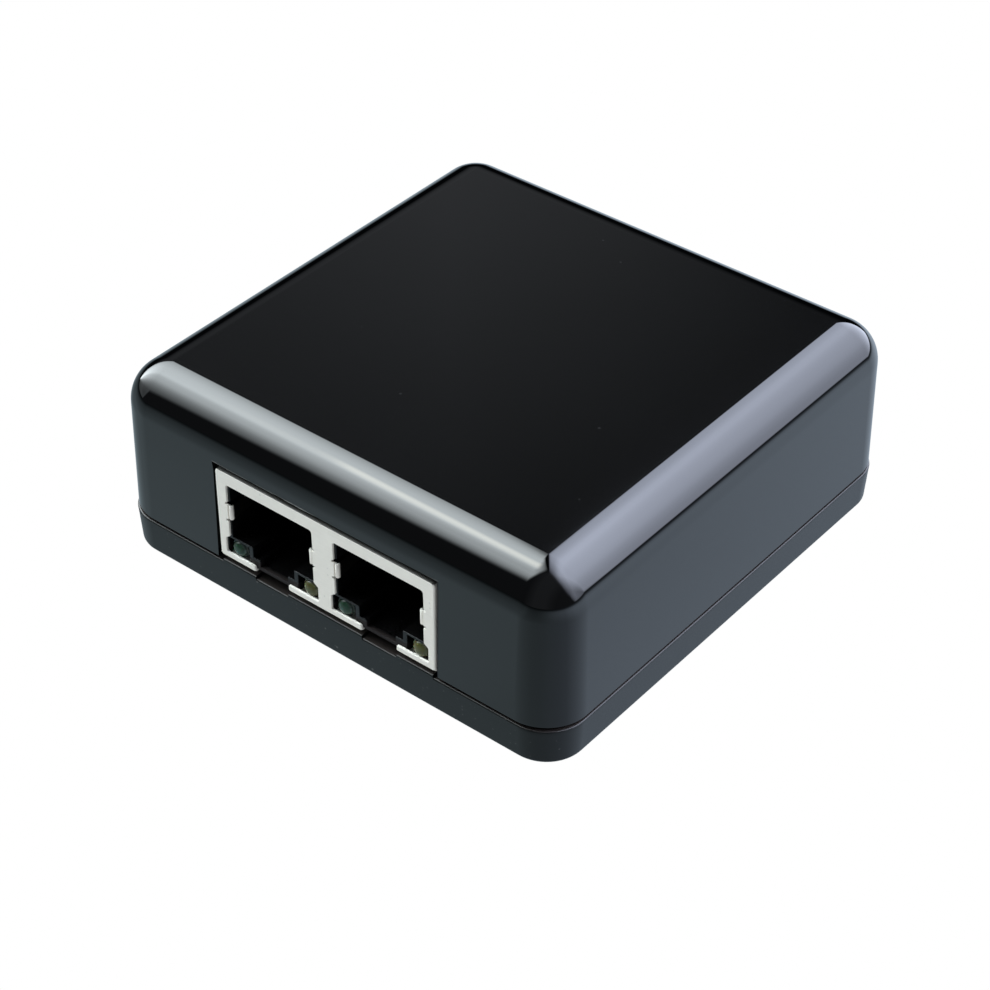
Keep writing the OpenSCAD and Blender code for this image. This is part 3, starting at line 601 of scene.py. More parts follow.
def label_film():
    """Blank grey label with a printed frame line and empty rules."""
    frame_x, frame_y, half_line = 0.0158, 0.0097, 0.00012
    graph = new_graph("label")
    point = graph.coords()
    x, y, _ = graph.axes(point)
    off_x, off_y = x.absolute(), y.absolute()
    uprights = (off_x - frame_x).absolute().below(half_line) * off_y.below(frame_y + half_line)
    levels = (off_y - frame_y).absolute().below(half_line) * off_x.below(frame_x + half_line)
    line = uprights.most(levels)
    # rules every 4 mm within the frame
    rule = ((y * 250.0).math("FRACT") - 0.5).absolute().below(0.03)
    rule = rule * off_x.below(0.0135) * off_y.below(0.0075)
    cloud = graph.noise(point, scale=2600, detail=4.0, rough=0.7)
    colour = graph.mix(cloud, (0.30, 0.31, 0.32), (0.24, 0.25, 0.26))
    colour = graph.mix(line.most(rule * 0.6), colour, (0.06, 0.06, 0.065))
    return graph.surface(colour, roughness=cloud * 0.2 + 0.35, height=cloud, depth=3e-6)


def wound_copper():
    """Enamelled copper wire laid turn against turn."""
    graph = new_graph("copper")
    point = graph.coords()
    turns = graph.signal("ShaderNodeTexWave", "Fac", {
        "Vector": point, "Scale": 450.0, "Distortion": 0.6, "Detail": 1.0},
        wave_type="BANDS", bands_direction="Z")
    cloud = graph.noise(point, scale=700, detail=3.0)
    colour = graph.mix(turns * 0.5 + cloud * 0.4, (0.20, 0.055, 0.018), (0.62, 0.24, 0.10))
    return graph.surface(colour, roughness=cloud * 0.2 + 0.22, height=turns, depth=6e-5,
                         extra={"Metallic": 0.7, "Coat Weight": 0.6})


SIMPLE_FINISHES = {
    "screw_steel": dict(colour=(0.55, 0.55, 0.56), rough=0.28, metal=1.0, vary=0.25, scale=900,
                        streaks=(3000, 3000, 300)),
    "feet": dict(colour=(0.022, 0.022, 0.024), rough=0.75, vary=0.5, scale=700, grain=3800,
                 depth=1.2e-5, specks=0.12, sheen=0.1),
    "inlet_plastic": dict(colour=(0.0030, 0.0030, 0.0032), rough=0.26, vary=0.45, scale=450,
                          grain=3600, depth=3e-6, ior=1.45),
    "carrier_plastic": dict(colour=(0.004, 0.004, 0.0045), rough=0.4, vary=0.4, scale=500,
                            grain=3600, depth=5e-6),
    "gold_contact": dict(colour=(0.83, 0.60, 0.25), rough=0.22, metal=1.0, vary=0.2, scale=800,
                         streaks=(4000, 500, 4000)),
    "lead_tin": dict(colour=(0.62, 0.62, 0.60), rough=0.36, metal=1.0, vary=0.3, scale=900),
    "inlet_metal": dict(colour=(0.60, 0.59, 0.56), rough=0.26, metal=1.0, vary=0.25, scale=800,
                        streaks=(4000, 400, 4000)),
    "package_black": dict(colour=(0.016, 0.016, 0.017), rough=0.55, vary=0.4, scale=500,
                          grain=4200, depth=8e-6, specks=0.05),
    "ferrite": dict(colour=(0.055, 0.058, 0.065), rough=0.6, vary=0.45, scale=600, grain=3000,
                    depth=1.2e-5, specks=0.1),
    "can_aluminium": dict(colour=(0.72, 0.73, 0.74), rough=0.3, metal=1.0, vary=0.15, scale=700,
                          streaks=(400, 400, 5000)),
    "capacitor_sleeve": dict(colour=(0.010, 0.022, 0.075), rough=0.3, vary=0.35, scale=350,
                             coat=0.4),
    "bung_rubber": dict(colour=(0.015, 0.015, 0.015), rough=0.8, vary=0.4, scale=600,
                        depth=1e-5),
    "roll_paper": dict(colour=(0.55, 0.47, 0.30), rough=0.8, vary=0.25, scale=300,
                       streaks=(200, 200, 6000), depth=2e-5),
    "fuse_ceramic": dict(colour=(0.62, 0.60, 0.53), rough=0.5, vary=0.15, scale=500),
    "choke_ferrite": dict(colour=(0.030, 0.075, 0.045), rough=0.4, vary=0.3, scale=500,
                          coat=0.3),
    "chip_black": dict(colour=(0.012, 0.012, 0.013), rough=0.35, vary=0.3, scale=900,
                       specks=0.05),
    "chip_tan": dict(colour=(0.34, 0.22, 0.11), rough=0.5, vary=0.3, scale=900),
}
MATERIALS = {
    "case_gloss": case_gloss(),
    "case_base": case_base(),
    "shield_tin": tin("shield_tin", depth_shade=False),
    "finger_tin": tin("finger_tin", depth_shade=True),
    "board": board_green(),
    "label": label_film(),
    "copper": wound_copper(),
    "jack_plastic": jack_black(),
    "led_green": lens("led_green", -INDICATOR_X, deep=(0.010, 0.036, 0.018),
                      glow=(0.022, 0.074, 0.036), rim=(0.082, 0.108, 0.098)),
    "led_yellow": lens("led_yellow", INDICATOR_X, deep=(0.062, 0.062, 0.016),
                       glow=(0.125, 0.125, 0.034), rim=(0.15, 0.155, 0.10)),
}
for name, values in SIMPLE_FINISHES.items():
    MATERIALS[name] = simple_finish(name, **values)


def place(ob, slot, body, node):
    """Paints an object, ties it to its moving body and lets it stand in for a CAD node."""
    ob.data.materials.clear()
    ob.data.materials.append(MATERIALS[slot])
    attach(ob, body)
    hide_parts(node)


# ------------------------------------------------------------------ top cover
WALL = 2.0
EDGE_R = 4.9                             # rounded edge round the roof
DRAFT, DRAFT_HEIGHT = 0.26, 13.75        # the walls lean in by DRAFT over this height
FRONT_WINDOW = (15.65, 17.95)            # half width, top
REAR_WINDOW = (4.7, 16.8)
COVER_CORNER_STEPS = 24
# (radius, height) of the sleeve round each screw
BOSS = [(1.05, 14.0), (1.05, 5.75), (1.25, 5.55), (2.55, 5.55), (2.7, 5.7), (2.78, 21.9),
        (0.3, 21.9), (0.3, 14.4)]


def draft(z):
    return DRAFT * (z - COVER_Z) / DRAFT_HEIGHT


def cover_rows():
    """(inset, height) of the rows of points up the outside and up the inside."""
    tops = (REAR_WINDOW[1], FRONT_WINDOW[1])
    chamfer = (COVER_Z, 5.064, 5.22)
    outer = list(zip((0.22, 0.064, 0.0), chamfer)) + [(draft(z), z) for z in tops]
    inner = [(WALL, z) for z in chamfer] + [(WALL + draft(z), z) for z in tops]
    edge_z = ROOF - EDGE_R
    for a in sweep(0, 90, 24):
        # over its last 18 degrees the round runs a little further in
        ease = max(0.0, math.degrees(a) - 72) / 18
        inset = DRAFT + EDGE_R * (1 - math.cos(a)) + 0.13 * ease ** 2
        outer.append((inset, edge_z + EDGE_R * math.sin(a)))
    inner_r = EDGE_R - WALL
    for a in sweep(0, 90, 12):
        inset = WALL + DRAFT + inner_r * (1 - math.cos(a))
        inner.append((inset, edge_z + inner_r * math.sin(a)))
    return outer, inner


def window_edge(a, b):
    """Whether an edge belongs to the outline of a window on the outer face."""
    near = 0.01
    for (half_width, top), sign in ((FRONT_WINDOW, -1), (REAR_WINDOW, 1)):
        on_face = all(sign * y > HALF - 0.35 and abs(x) < half_width + near and z < top + near
                      for x, y, z in (a, b))
        upright = all(abs(abs(x) - half_width) < near for x, y, z in (a, b))
        level = all(abs(z - top) < near for x, y, z in (a, b))
        if on_face and (upright or level):
            return True
    return False


def cover_faces(outer_rows, inner_rows, count, side):
    """Faces of the double wall, less the windows. side is the number of points in a quarter."""
    # first column, last column, rows taken away from the bottom: front and rear window
    windows = ((2, 8, 4), (2 * side + 4, 2 * side + 6, 3))
    cut = {i: rows for first, last, rows in windows for i in range(first, last)}
    inside = outer_rows * count          # index of the first inner point
    faces = []
    for start, rows in ((0, outer_rows), (inside, inner_rows)):
        for k in range(rows - 1):
            low, high = start + k * count, start + (k + 1) * count
            for i in range(count):
                if cut.get(i, 0) > k:
                    continue
                a, b = i, (i + 1) % count
                if start:
                    a, b = b, a
                faces.append((low + a, low + b, high + b, high + a))
    for i in range(count):               # bottom edge
        if i not in cut:
            j = (i + 1) % count
            faces.append((j, i, inside + i, inside + j))
    for first, last, rows in windows:    # sides and top of each window
        for k in range(rows):
            low, high = k * count, (k + 1) * count
            faces.append((low + first, high + first, inside + high + first, inside + low + first))
            faces.append((high + last, low + last, inside + low + last, inside + high + last))
        top = rows * count
        for i in range(first, last):
            faces.append((top + i, top + i + 1, inside + top + i + 1, inside + top + i))
    faces.append(tuple((outer_rows - 1) * count + i for i in range(count)))
    faces.append(tuple(inside + (inner_rows - 1) * count + i for i in range(count - 1, -1, -1)))
    return faces


def cover_shell():
    half = [REAR_WINDOW[0], 10.2, FRONT_WINDOW[0], 20.6, COVER_CORNER_AXIS]
    columns = [-x for x in reversed(half)] + [0.0] + half
    outer, inner = cover_rows()
    rings = [perimeter(COVER_CORNER_AXIS, COVER_CORNER_R - inset, z, columns, COVER_CORNER_STEPS)
             for inset, z in outer + inner]
    side = len(columns) + COVER_CORNER_STEPS - 1
    shell = Shape()
    shell.add([p for ring in rings for p in ring],
              cover_faces(len(outer), len(inner), len(rings[0]), side))
    ob = shell.build("cover_moulding")
    bevel_edges(ob, window_edge, width=0.16, segments=3)
    bosses = Shape()
    for x, y in SCREWS:
        bosses.lathe(BOSS, (x, y, 0), segments=40)
        # rib from the sleeve towards the side wall
        left, right = sorted(math.copysign(reach, x) for reach in (26.9, 29.3))
        bosses.soft_box((left, y - 0.6, 6.95), (right, y + 0.6, 17.65), 0.15)
    join(ob, bosses.build("cover_bosses"))
    return tidy(ob)


place(cover_shell(), "case_gloss", "root", "top_cover")

# ------------------------------------------------------------------ base plate
BASE_COLUMNS = [-20.0, -15.0, -14.9, -10.12, -10.02, -5.42, -5.32, 5.12, 5.22, 9.82, 9.92,
                14.9, 15.0, 20.0]
SILL_HALF, SILL_RISE = 14.9, 0.35        # raised part of the front rim
SILL_NOTCHES = ((-10.1, -5.35), (5.15, 9.9))
# (radius, height) of the cutters, from below: chamfered recess of a foot, and of a screw
FOOT_RECESS = [(4.28, -0.4), (4.28, 0.0), (4.1, 0.18), (4.1, 0.7)]
SCREW_RECESS = [(2.72, -0.4), (2.72, 0.0), (2.5, 0.22), (2.5, 1.9), (1.4, 1.901), (1.4, 3.5)]
LABEL_RECESS = [(-17.3, -11.3, 1.3), (17.3, -11.3, 1.3), (17.3, 11.3, 1.3), (-17.3, 11.3, 1.3)]
SCREW_COLLAR = [(1.4, 1.9), (2.5, 1.9), (2.5, 0.5), (3.4, 0.5), (3.4, 2.8), (3.3, 2.9),
                (2.6, 2.9), (2.6, 3.8), (2.5, 3.9), (1.4, 3.9)]
LIP_CORNER_AXIS, LIP_CORNER_R = 25.8, 3.1
LIP_GAPS = {0: 16.3, 2: 5.0}             # half width of the gap in the front and rear sides
LIP_SECTION = [(0, 4.5), (0, 6.25), (0.15, 6.4), (0.75, 6.4), (0.9, 6.25), (0.9, 4.5)]


def sill(x):
    notched = any(left < x < right for left, right in SILL_NOTCHES)
    return SILL_RISE if abs(x) <= SILL_HALF and not notched else 0.0


def base_rings():
    """Up the outside of the base, over its rim and down to the floor inside."""
    # (inset, height, rise of the front side)
    rows = [(0.25 + 0.5 * (1 - math.sin(a)), 0.5 * (1 - math.cos(a)), None)
            for a in sweep(0, 90, 6)]
    rows.append((0.03, 4.1, None))
    rows += [(0.2 * (1 - math.cos(a)), RIM - 0.2 + 0.2 * math.sin(a), sill)
             for a in sweep(0, 90, 4)]
    rows.append((2.8, RIM, sill))
    rows += [(2.8 + 0.2 * math.sin(a), RIM - 0.2 * (1 - math.cos(a)), sill)
             for a in sweep(0, 90, 3)[1:]]
    rows += [(3.0, 4.1, None), (3.0, 2.3, None), (3.09, 2.09, None), (3.3, 2.0, None)]
    columns = [-BASE_CORNER_AXIS, *BASE_COLUMNS, BASE_CORNER_AXIS]
    radius = HALF - BASE_CORNER_AXIS
    return [perimeter(BASE_CORNER_AXIS, radius - inset, z, columns, 20, rise)
            for inset, z, rise in rows]


def base_recesses():
    cut = Shape()
    for x, y in FEET:
        cut.lathe(FOOT_RECESS, (x, y, 0), segments=72, loop=False)
    for x, y in SCREWS:
        cut.lathe(SCREW_RECESS, (x, y, 0), segments=56, loop=False)
    cut.prism(round_outline(LABEL_RECESS, 8), -0.4, 0.2)
    return cut.build("cutter")


def lip_runs():
    """Stations (x, y, normal x, normal y) of the two runs of the lip, split at its gaps."""
    runs = [[]]
    for side in range(4):
        def station(x, y, normal_x, normal_y):
            normal = quarter_turn(normal_x, normal_y, side)
            runs[-1].append((*quarter_turn(x, y, side), *normal))

        reach = LIP_CORNER_AXIS + LIP_CORNER_R
        gap = LIP_GAPS.get(side)
        station(-LIP_CORNER_AXIS, -reach, 0, -1)
        if gap:
            station(-gap, -reach, 0, -1)
            runs.append([])
            station(gap, -reach, 0, -1)
        else:
            station(0.0, -reach, 0, -1)
        station(LIP_CORNER_AXIS, -reach, 0, -1)
        for w in sweep(-90, 0, 10)[1:-1]:
            a, b = math.cos(w), math.sin(w)
            station(LIP_CORNER_AXIS + LIP_CORNER_R * a, -LIP_CORNER_AXIS + LIP_CORNER_R * b, a, b)
    head, middle, tail = runs
    return middle, tail + head


def base_tray():
    tray = Shape()
    tray.loft(base_rings())
    ob = tray.build("base_moulding")
    cutter = base_recesses()
    tidy(cutter, weight=False)
    tidy(ob, weight=False)
    subtract(ob, cutter)
    details = Shape()
    for x, y in SCREWS:
        details.lathe(SCREW_COLLAR, (x, y, 0), segments=56)
    for y in (-20, 0, 20):               # ribs across the floor
        details.soft_box((-9, y - 0.5, 1.8), (9, y + 0.5, 2.7), 0.12)
    for run in lip_runs():
        details.loft([[(x - inset * normal_x, y - inset * normal_y, z)
                       for inset, z in LIP_SECTION] for x, y, normal_x, normal_y in run])
    join(ob, details.build("base_details"))
    return tidy(ob)


place(base_tray(), "case_base", "root", "base_plate")


# ------------------------------------------------------------------ rubber feet
def rubber_feet():
    """Round pads with a shallow hollow underneath. Their heights are above the floor."""
    profile = [(AXIS_R, 0.12), (2.2, 0.12), (2.45, 0.0)]
    profile += [(3.45 + 0.5 * math.cos(a), 0.5 + 0.5 * math.sin(a)) for a in sweep(-90, 0, 6)]
    profile += [(4.0, 0.95), (4.0, 1.45), (AXIS_R, 1.45)]
    pads = Shape()
    for x, y in FEET:
        pads.lathe(profile, (x, y, 0), segments=64, loop=False)
    return tidy(pads.build("rubber_pads", lift=0.0), 30)


place(rubber_feet(), "feet", "root", "rubber_feet")

# ------------------------------------------------------------------ shield of the network jack
SHIELD_HALF = 15.25
SHEET = 0.25                             # thickness of the metal
BAR_TOP = JACK_Z + 0.78                  # top of the bars along the lower edge


def shield_outline():
    """Front of the shield with both port openings, as (x, z, corner radius)."""
    low, high = FINGER_SLOT
    half_open, slit = 6.1, 0.3           # half width of an opening, depth of the finger slots
    shoulder, half_wide = JACK_Z + 2.7, 6.68     # the opening is wider below the shoulder
    top = JACK_Z + 10.15
    slot = [(half_open, low - 0.32, 0), (half_open + slit, low - 0.28, 0),
            (half_open + slit, low, 0), (half_open, low, 0), (half_open, high, 0),
            (half_open + slit, high, 0), (half_open + slit, high + 0.28, 0),
            (half_open + 0.06, high + 0.34, 0)]
    corners = [(-SHIELD_HALF, JACK_Z, 0.35)]
    for _, port in PORTS:
        corners += [(port - 2.5, JACK_Z, 0.24), (port - 2.5, BAR_TOP, 0.26),
                    (port - half_wide, BAR_TOP, 0.22), (port - half_wide, shoulder, 0.18),
                    (port - half_open, shoulder + 0.42, 0.18)]
        corners += [(port - x, z, radius) for x, z, radius in slot]
        corners += [(port - half_open - 0.06, top, 0.3), (port + half_open, top, 0.4)]
        corners += [(port + x, z, radius) for x, z, radius in slot[::-1]]
        corners += [(port + half_open, shoulder + 0.42, 0.18), (port + half_wide, shoulder, 0.18),
                    (port + half_wide, BAR_TOP, 0.22), (port + 2.3, BAR_TOP, 0.26),
                    (port + 2.3, JACK_Z, 0.24)]
    corners += [(SHIELD_HALF, JACK_Z, 0.35), (SHIELD_HALF, JACK_TOP, 0.5),
                (-SHIELD_HALF, JACK_TOP, 0.5)]
    return round_outline(corners)


def edge_softness(outline):
    """Rounding of the front edge at each point, blended with its neighbours except at slots."""
    low, high = FINGER_SLOT
    at_slot = 0.045
    soft = []
    for x, z in outline:
        rim = abs(x) > SHIELD_HALF - 0.55 or z > JACK_TOP - 0.55
        if z > JACK_TOP - 0.1:
            soft.append(0.03)
        elif rim:
            soft.append(0.2)
        elif z < BAR_TOP + 0.03:
            soft.append(0.16)
        else:
            soft.append(at_slot if low - 0.6 < z < high + 0.6 else 0.09)
    soft = np.array(soft)
    blended = (soft + np.roll(soft, 1) + np.roll(soft, -1)) / 3
    return np.where(soft == at_slot, soft, blended)


def arch(inset, radius):
    """Corners up one side of the shield, over its top and down the other side."""
    half, top = SHIELD_HALF - inset, JACK_TOP - inset
    return round_outline([(-half, JACK_Z, 0), (-half, top, radius), (half, top, radius),
                          (half, JACK_Z, 0)])


def shield():
    outline = shield_outline()
    soft = edge_softness(outline)
    sheet = Shape()
    rings = [[(x, FACE_Y + SHEET, z) for x, z in outline]]
    for a in sweep(0, 90, 4):
        inset = inset_outline(outline, soft * (1 - math.cos(a)))
        rings.append([(x, FACE_Y + depth * (1 - math.sin(a)), z)
                      for (x, z), depth in zip(inset, soft)])
    sheet.loft(rings)
    # bent sheet over the top and down both sides
    bent = arch(0, 0.5) + arch(SHEET, 0.25)[::-1]
    sheet.prism(bent, FACE_Y + 0.24, FACE_Y + 21.3, "y")
    # strips that run back from the lower edge, clear of the gaps in it
    ends = [-SHIELD_HALF + 0.02, -PORT_X - 2.52, -PORT_X + 2.32, PORT_X - 2.52, PORT_X + 2.32,
            SHIELD_HALF - 0.02]
    for x0, x1 in zip(ends[::2], ends[1::2]):
        sheet.box((x0, FACE_Y + 0.2, JACK_Z + 0.005), (x1, FACE_Y + 2.1, JACK_Z + SHEET))
    # legs below each side
    for left in (-SHIELD_HALF, SHIELD_HALF - SHEET):
        for y in (FACE_Y + 6.7, FACE_Y + 16.7):
            sheet.soft_box((left, y - 0.55, 2.8), (left + SHEET, y + 0.55, JACK_Z + 1), 0.06)
    return tidy(sheet.build("shield_sheet"), 32)


place(shield(), "shield_tin", "root", "jack_shield")

# ------------------------------------------------------------------ spring fingers by the ports
FINGER_BEND = (5.82, FACE_Y + 0.28)      # centre of the bend: distance from port centre, and y
FINGER_BEND_R = 0.17
FINGER_LEAN = math.radians(5)
BULGE_AT, BULGE_HALF, BULGE = 4.4, 0.55, 0.30    # along the finger, half length, height
FINGER_CLEAR = 0.03                      # below and above, in the slot of the shield


def finger_path():
    """Centre line from above: round the bend, then back with a bulge into the port."""
    centre_x, centre_y = FINGER_BEND
    path = [(centre_x + FINGER_BEND_R * math.cos(a), centre_y + FINGER_BEND_R * math.sin(a))
            for a in sweep(8, -185, 12)]
    cosine, sine = math.cos(FINGER_LEAN), math.sin(FINGER_LEAN)
    for s in np.linspace(0.3, 6.0, 34):
        push = 0.0
        if abs(s - BULGE_AT) < BULGE_HALF:
            wave = math.cos((s - BULGE_AT) / BULGE_HALF * math.pi / 2)
            push = BULGE * max(0.0, wave) ** 1.5
        across = -FINGER_BEND_R - push
        path.append((centre_x + across * cosine + s * sine,
                     centre_y - across * sine + s * cosine))
    return np.array(path)


def finger(name, port_x, side, body, node):
    low, high = FINGER_SLOT[0] + FINGER_CLEAR, FINGER_SLOT[1] - FINGER_CLEAR
    # (offset across the sheet, height)
    section = [(-0.1, low + 0.05), (-0.1, high - 0.05), (-0.06, high), (0.06, high),
               (0.1, high - 0.05), (0.1, low + 0.05), (0.06, low), (-0.06, low)]
    path = finger_path()
    tangents = np.gradient(path, axis=0)
    tangents /= np.linalg.norm(tangents, axis=1)[:, None]
    normals = np.stack([-tangents[:, 1], tangents[:, 0]], 1)
    strip = Shape()
    strip.loft([[(port_x + side * (p[0] + offset * normal[0]), p[1] + offset * normal[1], z)
                 for offset, z in section] for p, normal in zip(path, normals)])
    ob = tidy(strip.build(name), 50)
    place(ob, "finger_tin", body, node)


for number, port_x in PORTS:
    for hand, side in (("left", -1), ("right", 1)):
        finger(f"finger_{number}_{hand}", port_x, side, f"port_{number}_{hand}_finger",
               f"port_{number}_{hand}_ground_finger")


# ------------------------------------------------------------------ indicators
def indicator(name, x, slot, node):
    """Domed round lens with a block behind it."""
    # (radius, distance behind the front of the lens)
    profile = [(max(AXIS_R, 1.03 * math.sin(a)), 0.62 * (1 - math.cos(a)))
               for a in sweep(0, 90, 8)]
    profile += [(1.08, 0.60), (1.14, 0.62), (INDICATOR_R, 0.70), (INDICATOR_R, 3.4),
                (AXIS_R, 3.4)]
    body = Shape()
    body.lathe(profile, (x, FACE_Y + 0.1, INDICATOR_Z), segments=40, axis="y", loop=False)
    body.soft_box((x - INDICATOR_R, FACE_Y + 3.2, INDICATOR_Z - 1.1),
                  (x + INDICATOR_R, FACE_Y + 5.3, INDICATOR_Z + 1.05), 0.15)
    place(tidy(body.build(name), 40), slot, "root", node)


for number, port_x in PORTS:
    for colour, offset in (("green", -INDICATOR_X), ("yellow", INDICATOR_X)):
        indicator(f"lens_{number}_{colour}", port_x + offset, f"led_{colour}",
                  f"port_{number}_{colour}_led")

# ------------------------------------------------------------------ pieces kept from the CAD
SLOT_NODES = {
    "screw_steel": ["case_screws"],
    "label": ["rating_label"],
    "board": ["circuit_board"],
    "shield_tin": ["jack_shield_back"],
    "jack_plastic": ["jack_housing"],
    "carrier_plastic": ["port_1_contact_carrier", "port_2_contact_carrier"],
    "gold_contact": ["port_1_contact_tails", "port_2_contact_tails", "port_1_contact_springs",
                     "port_2_contact_springs"],
    "lead_tin": ["led_leads", "dc_jack_pin_terminal", "dc_jack_sleeve_terminal",
                 "dc_jack_switch_contact", "lan_transformer_leads", "capacitor_leads",
                 "transistor_tab", "diode_leads", "controller_leads"],
    "inlet_plastic": ["dc_jack_housing"],
    "inlet_metal": ["dc_jack_center_pin", "dc_jack_sleeve_spring"],
    "package_black": ["lan_transformers", "power_transistor", "schottky_diode", "surge_diode",
                      "poe_controller", "boost_controller"],
    "ferrite": ["inductor_core"],
    "copper": ["inductor_winding", "choke_windings"],
    "can_aluminium": ["capacitor_cans"],
    "capacitor_sleeve": ["capacitor_sleeves"],
    "bung_rubber": ["capacitor_bungs"],
    "roll_paper": ["capacitor_rolls"],
    "fuse_ceramic": ["input_fuse"],
    "choke_ferrite": ["choke_core"],
    "chip_black": ["chip_resistors"],
    "chip_tan": ["chip_capacitors"],
}
# width of the rounded edges
NODE_BEVELS = {
    "jack_housing": 0.07, "dc_jack_housing": 0.18, "lan_transformers": 0.15,
    "power_transistor": 0.15, "schottky_diode": 0.12, "surge_diode": 0.12,
    "poe_controller": 0.1, "boost_controller": 0.1, "input_fuse": 0.08,
    "jack_shield_back": 0.04, "circuit_board": 0.06, "case_screws": 0.05,
    "port_1_contact_carrier": 0.05, "port_2_contact_carrier": 0.05, "transistor_tab": 0.04,
    "rating_label": 0.02, "inductor_core": 0.15,
}


def dress(name, material):
    """Paints and smooths a CAD piece, and rounds its edges if it has a bevel width."""
    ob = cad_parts[name]
    if not ob.data.materials:
        ob.data.materials.append(material)
    for i in range(len(ob.data.materials)):
        ob.data.materials[i] = material
    for face in ob.data.polygons:
        face.use_smooth = True
    weld = ob.modifiers.new("weld", "WELD")
    weld.merge_threshold = 1e-6
    if name in NODE_BEVELS:
        # merges flat triangles first, so that only real edges are rounded
        flat = ob.modifiers.new("flat", "DECIMATE")
        flat.decimate_type = "DISSOLVE"
        flat.angle_limit = math.radians(0.5)
        bevel = ob.modifiers.new("bevel", "BEVEL")
        bevel.width = NODE_BEVELS[name] / 1000
        bevel.segments = 2
        bevel.limit_method = "ANGLE"
        bevel.angle_limit = math.radians(40)
        bevel.use_clamp_overlap = True
    weigh(ob)


for slot, names in SLOT_NODES.items():
    for name in names:
        dress(name, MATERIALS[slot])


# ------------------------------------------------------------------ floor
def floor_material():
    """Pale paper floor, plain white to the camera. In reflections it is darker in front of the
    case than to its right. From below it is clear, so that the underside can be looked at."""
    graph = new_graph("floor_paper")
    geometry = graph.node("ShaderNodeNewGeometry")
    path = graph.node("ShaderNodeLightPath")
    x, y, z = graph.axes(Signal(graph, geometry.outputs["Incoming"]))
    # 0 for rays that travel to the front left, 1 to the back right
    side = (x * -0.7 + y * -0.7).smooth(-0.6, 0.6)
    # (steepness of the ray, brightness) at the front left and at the back right
    front = z.steps([(0, 0.03), (0.05, 0.1), (0.14, 0.31), (0.32, 0.41), (0.47, 0.44),
                     (0.58, 0.50), (0.63, 0.58), (1, 0.62)])
    far = z.steps([(0, 0.12), (0.05, 0.3), (0.12, 1.3), (0.21, 1.47), (0.37, 1.22), (0.5, 1.0),
                   (0.62, 0.82), (1, 0.8)])
    # (front left to back right, brightness)
    turn = (x * -0.7 + y * -0.7).steps([
        (-0.80, 1.2), (-0.785, 1.14), (-0.74, 1.02), (-0.73, 0.93), (-0.67, 0.86), (-0.51, 0.78),
        (-0.29, 0.74), (-0.03, 0.72), (0.23, 0.67), (0.46, 0.68), (0.64, 0.86), (0.74, 0.98),
        (0.80, 1.0)])
    green = (front * (1 - side) + far * side) * turn
    red = green * (side * 0.04 + 0.80)
    blue = green * (side * 0.11 + 1.09)
    grain = graph.noise(graph.coords(), scale=900, detail=3.0) * 0.04 + 0.98
    reflected = graph.signal("ShaderNodeCombineXYZ", 0, {
        0: red * grain, 1: green * grain, 2: blue * grain})
    diffuse_ray = Signal(graph, path.outputs["Is Diffuse Ray"])
    light = graph.mix_light(diffuse_ray, reflected, (0.92, 0.94, 0.96))
    camera_ray = Signal(graph, path.outputs["Is Camera Ray"])
    light = graph.mix_light(camera_ray, light, (1.0, 1.0, 1.0))
    glow = graph.signal("ShaderNodeEmission", 0, {"Color": light})
    clear = graph.signal("ShaderNodeBsdfTransparent", 0)
    from_below = Signal(graph, geometry.outputs["Backfacing"])
    return graph.finish(graph.signal("ShaderNodeMixShader", 0, {0: from_below, 1: glow, 2: clear}))


floor_mesh = bpy.data.meshes.new("floor")
floor_mesh.from_pydata([(-3, -3, 0), (3, -3, 0), (3, 3, 0), (-3, 3, 0)], [], [(0, 1, 2, 3)])
floor = bpy.data.objects.new("floor", floor_mesh)
scene.collection.objects.link(floor)
floor.data.materials.append(floor_material())


# ------------------------------------------------------------------ light
# Tables hold (angle in degrees or part of the direction, brightness) unless noted.
class Sky:
    """A direction (x, y, z) that light arrives from, and its angles in degrees."""

    def __init__(self, x, y, z):
        degrees = 57.29578
        toward = x * 0.628 + y * -0.778          # level part, towards the camera
        across = x * 0.778 + y * 0.628           # level part, to the camera's right
        self.x, self.y, self.z = x, y, z
        self.pitch = toward.math("ARCTAN2", z) * degrees      # 0 overhead, + towards the camera
        self.swing = across.math("ARCSINE") * degrees         # + to the camera's right
        self.roll = (y * -1).math("ARCTAN2", z) * degrees     # about X, + towards the front
        self.side = x.math("ARCTAN2", z) * degrees            # about Y, + towards the right


def left_softbox(sky):
    end = sky.swing * -0.36 + -1.2       # pitch where it stops, towards the camera
    light = sky.roll.steps([
        (-42.9, 0), (-42.2, 4.2), (-38.5, 5.6), (-31.7, 7.2), (-25, 8.5), (-19.6, 9.5),
        (-13.7, 10.2), (-7.4, 10.8), (-1, 11.4), (3, 11.7), (7, 10.7), (10.3, 9.4), (16, 8.5),
        (23, 7.8), (29, 6.0), (34.7, 4.2), (41, 2.9), (48, 1.8), (56, 0.9), (70, 0.6)])
    light = light * (end - sky.pitch).smooth(-1.0, 9.0)
    # (pitch, swing of its right edge), before the whole edge moves left
    edge = sky.pitch.steps([(-52, 7.5), (-50, 6.2), (-44, 3.6), (-38, 1.5), (-28, 0.6),
                            (-17, 0.0), (2, 0.0)]) + -5.1
    # (pitch, crispness of that edge)
    crisp = sky.pitch.steps([(-50, 10.0), (-41, 8.0), (-35, 4.5), (-28, 3.2), (-24, 1.7),
                             (-17, 1.0), (-7, 0.55)])
    return light * ((sky.swing - edge) * crisp).steps([
        (-22, 1), (-12, 0.82), (-6, 0.52), (-3, 0.36), (-1, 0.24), (0.8, 0.1), (2, 0)])


